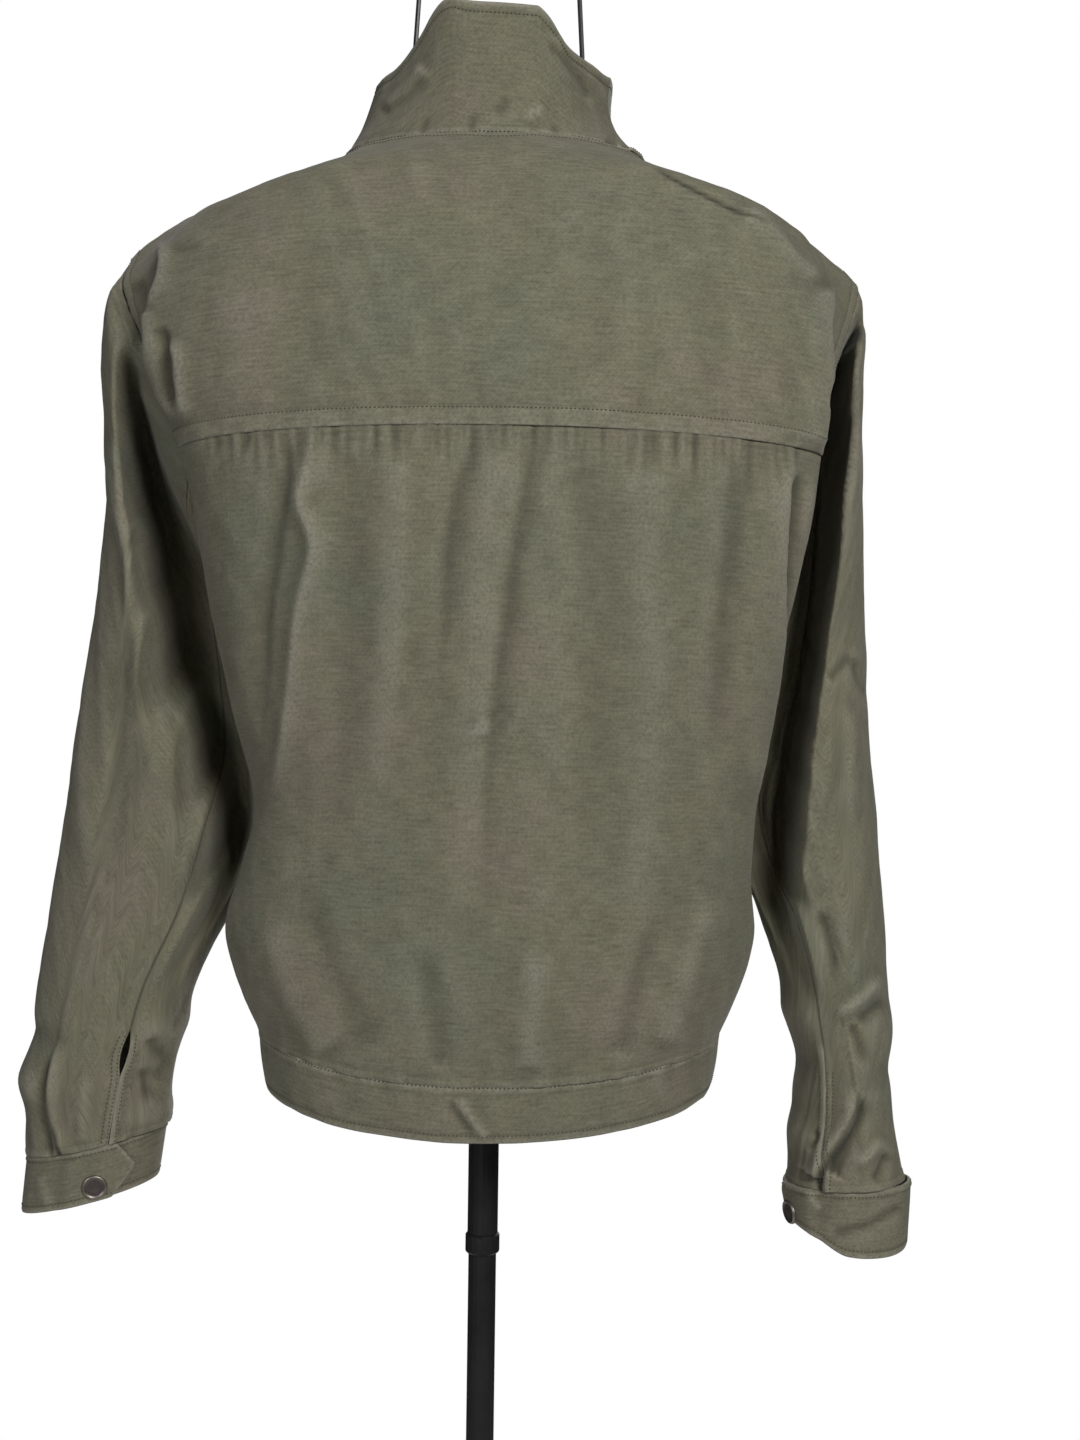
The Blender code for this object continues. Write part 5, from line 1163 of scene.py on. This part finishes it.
# %% Measurements of the collar
# at: share of the way along.  up: height.  in_: how far it leans in, below, midway and at the top.
# spread: how far the front ends stand apart.
COLLAR_COLUMNS = ("name", "at", "up", "in_low", "in_mid", "in_top", "spread")
COLLAR_SECTIONS = (
    ("right_end", 0.0, 52, -3, -12, -22, 24),
    ("right_front", 0.11, 60, 3, 1, -6, 10),
    ("right_rise", 0.21, 66, 12, 17, 16, 2),
    ("right_side", 0.28, 52, 18, 26, 25, 0),
    ("right_dip", 0.35, 48, 15, 21, 20, 0),
    ("right_turn", 0.405, 54, 7, 9, 9, 0),
    ("back_right", 0.455, 73, 1, -1, -4, 0),
    ("back_left", 0.545, 74, 1, -1, -4, 0),
    ("left_turn", 0.6, 58, 4, 6, 8, 0),
    ("left_dip", 0.66, 47, 7, 11, 15, 0),
    ("left_side", 0.74, 47, 9, 15, 19, 0),
    ("left_front", 0.89, 57, 3, 1, -6, 10),
    ("left_end", 1.0, 52, -3, -12, -22, 24),
)

# %% The collar
COLLAR_CENTRE_Y = 8.0
COLLAR_CORNERS, CORNER_RISE = (-36, 56), 7.0      # the top edge stands up at two places


def neck_seam():
    """The neck seam from the centre front, round the right side and the back, to the front."""
    columns = np.linspace(9, 13, 40)
    right = front_cloth("right", columns, [0.0])[0][::-1]
    left = front_cloth("left", columns, [0.0])[0]
    nape = back_cloth(np.linspace(NECK, -NECK, 120), [0.0])[0]
    return np.concatenate([right, nape[1:], left[1:]])


def collar_cloth(share, height):
    """The collar at shares of the way along it and shares of its height, from the top down."""
    table = named(COLLAR_COLUMNS, COLLAR_SECTIONS)
    values = np.array([[section[key] for key in COLLAR_COLUMNS[2:]] for section in table], float)
    up, low, mid, high, spread = between([s["at"] for s in table], values, share).T
    neck = along(neck_seam(), share)
    inwards = np.array([0, COLLAR_CENTRE_Y, 0]) - neck
    inwards[:, 2] = 0
    inwards /= np.linalg.norm(inwards, axis=1)[:, None]
    leans = between([0, 1 / 3, 2 / 3, 1], np.array([np.zeros_like(low), low, mid, high]), height)
    grid = neck[None] + inwards[None] * leans[..., None]
    grid[..., 0] += np.sign(0.5 - share) * spread * height[:, None] ** 2
    grid[..., 2] += up * height[:, None]
    corners = sum(bell(grid[..., 0] - x, 14) for x in COLLAR_CORNERS)
    grid[..., 2] += CORNER_RISE * corners * smooth((20 - grid[..., 1]) / 20) * np.maximum(
        height[:, None], 0) ** 2
    return grid


COLLAR_FOLDS = [
    (2.4, 5, 9, 1.7, (0.1, 0.2), ((424, 63), (414, 78), (405, 90), (392, 101), (380, 111))),
    (-2.0, 6, 6, 1.7, (0.2, 0.2), ((428, 73), (410, 92), (392, 106), (380, 114))),
    (1.4, 7, 4, 1.6, (0.1, 0.2), ((552, 34), (573, 55), (592, 78), (600, 90), (606, 107))),
    (-1.6, 4, 6, 1.6, (0.1, 0.2), ((548, 42), (566, 62), (582, 82), (590, 104))),
    (-1.3, 6, 6, 1.7, (0.3, 0.3), ((496, 118), (502, 107), (512, 98))),
    (1.2, 6, 6, 1.7, (0.3, 0.3), ((524, 122), (533, 113), (546, 108))),
    (-1.2, 4, 4, 1.6, (0.0, 0.5), ((470, 133), (472, 122), (474, 112))),
    (-1.2, 4, 4, 1.6, (0.0, 0.5), ((420, 136), (424, 124), (430, 114))),
    (-1.4, 4, 5, 1.6, (0.0, 0.5), ((560, 141), (556, 130), (548, 120))),
    (3.6, 7, 7, 1.7, (0.2, 0.2), ((612, 146), (622, 150), (634, 158), (646, 162))),
    (-2.0, 4, 4, 1.6, (0.2, 0.2), ((604, 138), (618, 146), (632, 150))),
]
COLLAR_STEPS, COLLAR_MIDDLE = 420, 210
share, height = np.linspace(1, 0, COLLAR_STEPS), graded(-0.025, 1, 0.045, 0.016, 0.25)[::-1]
grid = collar_cloth(share, height)
out = outward(grid)
if out[:, COLLAR_MIDDLE, 1].mean() > 0:
    out = -out
run, down = measured(grid)
top, low = down, down[-1:] - down
ends = np.minimum(run, run[:, -1:] - run)
lift = lift_of(on_photo(grid), -out[..., 1], COLLAR_FOLDS)
lift += 0.8 * rumple(run * 1.2, down, 91) * smooth(low / 14) * 0.8
lift += 0.5 * unevenness(run, low * 0.3, 7.0, 93) * np.exp(-low / 14)
lift += seam_relief(low, run, BAND_ROW, 94, 0.4) + turned_edge(top, PLAIN_ROW)
# Abraded seam and edge, with painted shade in the creases and a painted highlight on the ridges.
wear_and_shading = (0.7 * seam_wear_and_shade(low, BAND_ROW) + edge_wear_and_shade(top, top - PLAIN_ROW)
        - painted_fold_shading(lift, run, down))
add_piece("collar", grid, out, lift, wear_and_shading, thick=1.9,
          flip=np.dot(outward(grid)[8, COLLAR_MIDDLE], out[8, COLLAR_MIDDLE]) < 0, held="stretched")

# %% [markdown]
# ## Hem band and cuffs
# The band and the cuffs are strips folded double.  The band draws the blouse in, so the cloth above
# it puckers and the band itself waves a little.  Each cuff ends in a tab that laps over the other
# end, with a snap.

# %% The hem band
BAND_HEIGHT, BAND_LEAN = 32.0, 4.0


def hem_line():
    """The body's lower edge from the left front's lap round the back to the right front's."""
    columns = np.concatenate([np.linspace(0, 13, 90), np.linspace(13.1, 14, 8)])
    left = front_cloth("left", columns[::-1], [HEM_AT])[0]
    right = front_cloth("right", columns, [HEM_AT])[0]
    back = back_cloth(np.linspace(-ARM, ARM, 220), [HEM_AT])[0]
    return np.concatenate([left, back[1:], right[1:]])


def band_cloth(share, height):
    """The band at shares of the way round it and shares of its height, from the hem down."""
    hem = along(hem_line(), share)
    inwards = -hem * (1, 1, 0)
    inwards /= np.linalg.norm(inwards, axis=1)[:, None]
    grid = hem[None] + inwards[None] * BAND_LEAN * height[:, None, None] ** 2
    grid += inwards[None] * 9 * np.maximum(-height, 0)[:, None, None]
    grid[..., 2] -= BAND_HEIGHT * height[:, None]
    return grid


BAND_FOLDS = [
    (1.8, 5, 6, 1.7, (0.2, 0.2), ((455, 1095), (466, 1112), (478, 1128), (489, 1142))),
    (-1.4, 4, 4, 1.6, (0.2, 0.2), ((448, 1100), (460, 1118), (474, 1136))),
]
grid = band_cloth(np.linspace(0, 1, 560), graded(-0.06, 1, 0.055, 0.022, 0.2))
out = outward(grid)
run, down = measured(grid)
low = down[-1:] - down
lift = lift_of(on_photo(grid), -out[..., 1], BAND_FOLDS)
lift += 0.75 * unevenness(run, down * 0.25, 10.0, 101) * np.exp(-down / 30)
lift += 1.1 * unevenness(run, down * 0.2, 34.0, 102) + turned_edge(low, BAND_ROW)
lift += seam_relief(down, run, BAND_ROW, 103, 0.5)
# Abraded seam and edge, with painted shade in the creases and a painted highlight on the ridges.
wear_and_shading = (0.7 * seam_wear_and_shade(down, BAND_ROW) + edge_wear_and_shade(low, low - BAND_ROW)
        - painted_fold_shading(lift, run, down))
add_piece("hem_band", grid, out, lift, wear_and_shading, thick=1.8, held="stretched")

# %% The cuffs
CUFF_FOLDS = {"left": [(1.2, 6, 6, 1.7, (0.2, 0.2), ((40, 1172), (44, 1192), (50, 1208)))],
              "right": [(-1.6, 4, 5, 1.6, (0.1, 0.1), ((831, 1233), (848, 1231), (866, 1226),
                                                       (887, 1215), (904, 1205))),
                        (1.6, 6, 4, 1.6, (0.1, 0.1), ((812, 1192), (812, 1200), (821, 1210)))]}


def cuff_cloth(side, turn, height):
    """A cuff: once round the wrist and its tab, with the tab's end pointed and raised."""
    top, bottom = named(RING_COLUMNS, CUFF_LEFT if side == "left" else CUFF_RIGHT)
    tip = CUFF_TIP_AT[side]
    lap = math.degrees(CUFF_TAB / WRIST_RADIUS)
    angles = tip - (360 + lap) * (1 - turn)
    rise = smooth((angles - tip + lap + CUFF_RISE_OVER) / CUFF_RISE_OVER)
    rows = []
    for share in height:
        ring = {key: top[key] + (bottom[key] - top[key]) * share for key in RING_COLUMNS[1:]}
        point = (12 * (1 - abs(2 * share - 1)) - 7) * smooth((turn - 0.92) / 0.08)
        shifted = angles + math.degrees(1 / WRIST_RADIUS) * point
        points = ring_points(ring, shifted, "right")
        away = points - ((ring["x_out"] + ring["x_in"]) / 2, ring["y_mid"], 0)
        away[:, 2] = 0
        away /= np.linalg.norm(away, axis=1)[:, None]
        out_by = CUFF_LAP_RISE * rise - 30 * max(-share, 0)
        if side == "right":
            points[:, 2] += 8 * max(share, 0) * smooth((222 - points[:, 0]) / 26)
        rows.append(points + away * out_by[:, None])
    return mirrored(np.array(rows), side)


for side, seed in (("left", 111), ("right", 121)):
    turn = np.concatenate([np.linspace(0, 0.9, 200)[:-1], np.linspace(0.9, 1, 40)])
    grid = cuff_cloth(side, turn, graded(-0.05, 1, 0.06, 0.022, 0.2))
    flip = side == "right"
    out = outward(grid, flip)
    run, down = measured(grid)
    low, edges = down[-1:] - down, np.minimum(run, run[:, -1:] - run)
    lift = lift_of(on_photo(grid), -out[..., 1], CUFF_FOLDS[side])
    lift += 0.5 * unevenness(run, down * 0.3, 12.0, seed) * smooth(edges / 14)
    lift += seam_relief(down, run, CUFF_ROW, seed + 1, 0.3, 0.1) + turned_edge(low, CUFF_ROW)
    lift -= 0.5 * bell(edges, 1.0)
    # Abraded seams and edges, with painted shade in the creases and a painted highlight on the ridges.
    wear_and_shading = (0.7 * seam_wear_and_shade(down, CUFF_ROW)
            + edge_wear_and_shade(np.minimum(low, edges), low - CUFF_ROW) - painted_fold_shading(lift, run, down))
    add_piece("cuff_" + side, grid, out, lift, wear_and_shading, thick=1.8, flip=flip, held="stretched")

# %% [markdown]
# ## Stitches
# Each topstitch is a short, low lozenge of thread that lies in the dip of its seam.  A stitch is a
# sphere of four sides, stretched along the row; the rows follow the finished cloth at a fixed
# distance from its edge, so they ride over every pucker.

# %% Rows of stitches
def stitch_row(node, edge, inset, start=0.0, stop=1.0):
    """A line on a piece of cloth at a distance from one of its edges, and the way out there."""
    piece = pieces[node]
    grid, out = piece["grid"], piece["out"]
    if edge in ("left", "right"):
        grid, out = grid.transpose(1, 0, 2), out.transpose(1, 0, 2)
    if edge in ("bottom", "right"):
        grid, out = grid[::-1], out[::-1]
    down = measured(grid)[1]
    first, last = int(start * (grid.shape[1] - 1)), int(stop * (grid.shape[1] - 1)) + 1
    line, ways = [], []
    for j in range(first, last):
        k = int(np.clip(np.searchsorted(down[:, j], inset), 1, len(grid) - 1))
        f = (inset - down[k - 1, j]) / (down[k, j] - down[k - 1, j])
        line.append(grid[k - 1, j] * (1 - f) + grid[k, j] * f)
        ways.append(out[k - 1, j] * (1 - f) + out[k, j] * f)
    return np.array(line), np.array(ways)


def sew(name, node, rows, pitch=2.4, width=0.56, seed=7):
    """One mesh with the stitches of a piece; a row is an edge, a distance and where it runs."""
    chance = np.random.default_rng(seed)
    bm = bmesh.new()
    for row in rows:
        line, ways = stitch_row(node, *row)
        run = run_of(line)
        for s in np.arange(pitch / 2, run[-1], pitch):
            spot = np.array([np.interp(s, run, line[:, k]) for k in range(3)])
            ahead = np.array([np.interp(s + 0.4, run, line[:, k]) for k in range(3)]) - spot
            way = Vector([float(np.interp(s, run, ways[:, k])) for k in range(3)]).normalized()
            if np.linalg.norm(ahead) < 1e-6:
                continue
            x_axis = Vector(ahead).normalized()
            x_axis = (x_axis + way.cross(x_axis) * float(chance.uniform(-0.08, 0.18))).normalized()
            y_axis = way.cross(x_axis).normalized()
            z_axis = x_axis.cross(y_axis)
            turn = Matrix((x_axis * pitch * 0.33, y_axis * width, z_axis * width * 0.8)).transposed()
            shape = Matrix.Translation((Vector(spot) + z_axis * 0.1) * MM) @ (turn * MM).to_4x4()
            bmesh.ops.create_uvsphere(bm, u_segments=4, v_segments=2, radius=1, matrix=shape)
    made = in_scene(name, mesh_from(name, bm))
    made.data.materials.append(thread_finish)
    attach(made, "root")
    pieces[node]["with"].append(made)
    return len(made.data.polygons) // 8


SLIT_SPAN, CUFF_SPAN, SIDE_SPAN = (0.83, 0.995), (0.01, 0.985), (0.0, 0.46)
ROWS = [("back_yoke", "back_yoke", [("bottom", TOPSTITCH), ("left", FIRST_ROW), ("left", ARM_ROW),
                                    ("right", FIRST_ROW), ("right", ARM_ROW),
                                    ("top", PLAIN_ROW, 0.16, 0.84)]),
        ("back_panel", "back_panel", [(edge, ARM_ROW, 0.02, 0.17) for edge in SIDES]),
        ("collar", "collar", [("top", PLAIN_ROW, 0.01, 0.99), ("bottom", 2.0, 0.01, 0.99)]),
        ("hem_band", "hem_band", [("bottom", BAND_ROW, 0.005, 0.995),
                                  ("top", 2.0, 0.005, 0.995)])]
for side in SIDES:
    front_rows = [("left", FIRST_ROW, *SIDE_SPAN), ("left", ARM_ROW, *SIDE_SPAN)]
    if side == "right":
        front_rows += [("right", PLACKET), ("right", 2.0)]
    ROWS += [("cuff_" + side, "cuff_" + side, [("bottom", CUFF_ROW, *CUFF_SPAN),
                                               ("top", CUFF_ROW, *CUFF_SPAN)]),
             ("sleeve_" + side, "sleeve_%s_upper" % side, [("right", BAND_ROW, *SLIT_SPAN),
                                                           ("right", 1.6, *SLIT_SPAN)]),
             ("slit_" + side, "sleeve_%s_under" % side, [("left", 3.5, *SLIT_SPAN)]),
             ("front_" + side, "front_" + side, front_rows)]
print("stitches:", {name: sew("stitches_" + name, node, rows) for name, node, rows in ROWS})

# %% [markdown]
# ## Snaps
# The snaps are capped press studs in gunmetal: dark nickel over brass, spun, with a rolled rim
# round a dished face.  A profile spun about its axis gives the cap.  The plating is worn lighter
# on the rim, where it rubs.

# %% Gunmetal snaps
gunmetal, tree, shader = new_material("gunmetal", Metallic=0.85, Roughness=0.42)
place = add_node(tree, "TexCoord").outputs["Object"]
scuff = add_node(tree, "TexNoise", values={"Scale": 900.0, "Detail": 4.0, "Roughness": 0.7},
                 links={"Vector": place})
wear_and_shading_layer = add_node(tree, "Attribute", {"attribute_name": "wear_and_shading"}).outputs["Fac"]
rub = add_node(tree, "Math", {"operation": "MULTIPLY_ADD"}, {1: 0.5, 2: -0.22},
               {0: scuff.outputs["Fac"]})
amount = add_node(tree, "Math", {"operation": "ADD", "use_clamp": True},
                  links={0: rub.outputs["Value"], 1: wear_and_shading_layer})
plating = mixed(tree, amount.outputs["Value"], "#6E6664", "#A29B92")
tree.links.new(plating, shader.inputs["Base Color"])
add_gloss(tree, shader, scuff, 0.28, 0.5)

SNAP_PROFILE = ((7.5, 0.0, 0.0), (7.5, 0.9, 0.2), (7.3, 1.5, 0.5), (6.9, 2.0, 0.9), (6.5, 2.1, 0.7),
                (6.1, 2.0, 0.3), (5.8, 1.7, 0.05), (4.6, 1.5, 0.0), (2.6, 1.75, 0.05),
                (0.0, 1.85, 0.05))     # radius, height and wear


def cloth_under(carrier, spot, way):
    """Where a line through a snap meets the finished cloth."""
    gap = pieces[carrier]["grid"] - spot
    far = np.linalg.norm(gap, axis=2) > 16
    gap -= way * (gap @ way)[..., None]
    near = (np.linalg.norm(gap, axis=2) + 5.0 * far).ravel().argsort()[:30]
    return pieces[carrier]["grid"].reshape(-1, 3)[near].mean(axis=0)


SNAPS = [("snap_front_%d" % k, "front_right") for k in range(1, 6)]
SNAPS += [("snap_band", "hem_band"), ("snap_cuff_left", "cuff_left"),
          ("snap_cuff_right", "cuff_right")]

def seat_of(node_name, carrier):
    """Where a snap sits on the finished cloth, and the way out of the cloth there."""
    low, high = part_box(node_name)
    middle = (np.array(low) + np.array(high)) / 2 / MM
    spots = np.array([tuple(v.co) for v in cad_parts[node_name].data.vertices]) / MM
    way = np.linalg.svd(spots - spots.mean(axis=0))[2][2]
    rough = pieces[carrier]["grid"] - middle
    nearest = np.linalg.norm(rough, axis=2).ravel().argmin()
    if way @ pieces[carrier]["out"].reshape(-1, 3)[nearest] < 0:
        way = -way
    return middle + way * ((cloth_under(carrier, middle, way) - middle) @ way), way


def spun_cap(name, seat, way):
    """The profile spun about its axis and set on its seat, with the wear along the profile."""
    bm = bmesh.new()
    chain = [bm.verts.new((r * MM, 0, h * MM)) for r, h, _ in SNAP_PROFILE]
    for a, b in zip(chain[:-1], chain[1:]):
        bm.edges.new((a, b))
    bmesh.ops.spin(bm, geom=bm.verts[:] + bm.edges[:], cent=(0, 0, 0), axis=(0, 0, 1),
                   angle=math.tau, steps=48, use_merge=True)
    bmesh.ops.remove_doubles(bm, verts=bm.verts, dist=1e-7)
    bmesh.ops.holes_fill(bm, edges=[e for e in bm.edges if e.is_boundary], sides=0)
    bmesh.ops.recalc_face_normals(bm, faces=bm.faces)
    places = [(v.co.xy.length / MM, v.co.z / MM) for v in bm.verts]
    turn = Vector((0, 0, 1)).rotation_difference(Vector(way)).to_matrix().to_4x4()
    bm.transform(Matrix.Translation(Vector(seat + way * 0.1) * MM) @ turn)
    mesh = mesh_from(name, bm)
    table = np.array(SNAP_PROFILE)
    wear_and_shading = [float(table[np.hypot(table[:, 0] - r, table[:, 1] - h).argmin(), 2]) for r, h in places]
    mesh.attributes.new("wear_and_shading", "FLOAT", "POINT").data.foreach_set("value", wear_and_shading)
    mesh.shade_smooth()
    mesh.materials.append(gunmetal)
    return mesh


for node_name, carrier in SNAPS:
    cap = in_scene("cap_" + node_name, spun_cap("cap_" + node_name, *seat_of(node_name, carrier)))
    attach(cap, "root")
    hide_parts(node_name)
    pieces[carrier]["with"].append(cap)
print("snaps:", len(SNAPS))

# %% [markdown]
# ## The dress form and its stand
# The form is a shell covered with plain black jersey; only a little of its neck can be seen past
# the collar.  Its solid keeps its place and gets one level of subdivision.  The stand is steel
# with satin black lacquer, slightly orange-peeled as sprayed lacquer is.

# %% Jersey and lacquer
jersey, tree, shader = new_material("black_jersey", Roughness=0.9, Sheen_Weight=0.3,
                                    Sheen_Roughness=0.5)
place = add_node(tree, "TexCoord").outputs["Object"]
fine = add_node(tree, "Mapping", values={"Scale": (1000 / 1.4, 1000 / 1.4, 1000 / 1.8)},
                links={"Vector": place})
loops = add_node(tree, "TexVoronoi", values={"Scale": 1.0}, links={"Vector": fine.outputs["Vector"]})
colour = mixed(tree, loops.outputs["Distance"], "#2B2A2A", "#1A1A1B")
tree.links.new(colour, shader.inputs["Base Color"])
add_relief(tree, shader, loops.outputs["Distance"], 0.5, 0.2)

lacquer, tree, shader = new_material("black_lacquer", Roughness=0.36, Specular_IOR_Level=0.5)
place = add_node(tree, "TexCoord").outputs["Object"]
peel = add_node(tree, "TexNoise", values={"Scale": 420.0, "Detail": 2.0}, links={"Vector": place})
dust = add_node(tree, "TexNoise", values={"Scale": 60.0, "Detail": 6.0, "Roughness": 0.7},
                links={"Vector": place})
colour = mixed(tree, dust.outputs["Fac"], "#141415", "#242425")
tree.links.new(colour, shader.inputs["Base Color"])
add_gloss(tree, shader, dust, 0.28, 0.46)
add_relief(tree, shader, peel.outputs["Fac"], 0.15, 0.05)


def finish_node(name, finish, levels=0):
    """Give a solid of the frame its finish, and smooth it by so many levels."""
    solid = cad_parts[name]
    if not solid.data.materials:
        solid.data.materials.append(finish)
    for slot in solid.material_slots:
        slot.material = finish
    if levels:
        smoother = solid.modifiers.new("smoother", "SUBSURF")
        smoother.levels = smoother.render_levels = levels


finish_node("dress_form", jersey, 1)
for name in ("foot", "hub", "pole_lower", "pole_coupling", "pole_upper", "wire_loop"):
    finish_node(name, lacquer)

# %% [markdown]
# ## Declaring the cloth
# Every piece of cloth is declared with the size it was cut to, how it is held, and what goes with
# it.  The gathered panel was cut a quarter wider than it hangs.

# %% Sheets of cloth and the last check
for node_name, piece in pieces.items():
    width, length = piece["flat"]
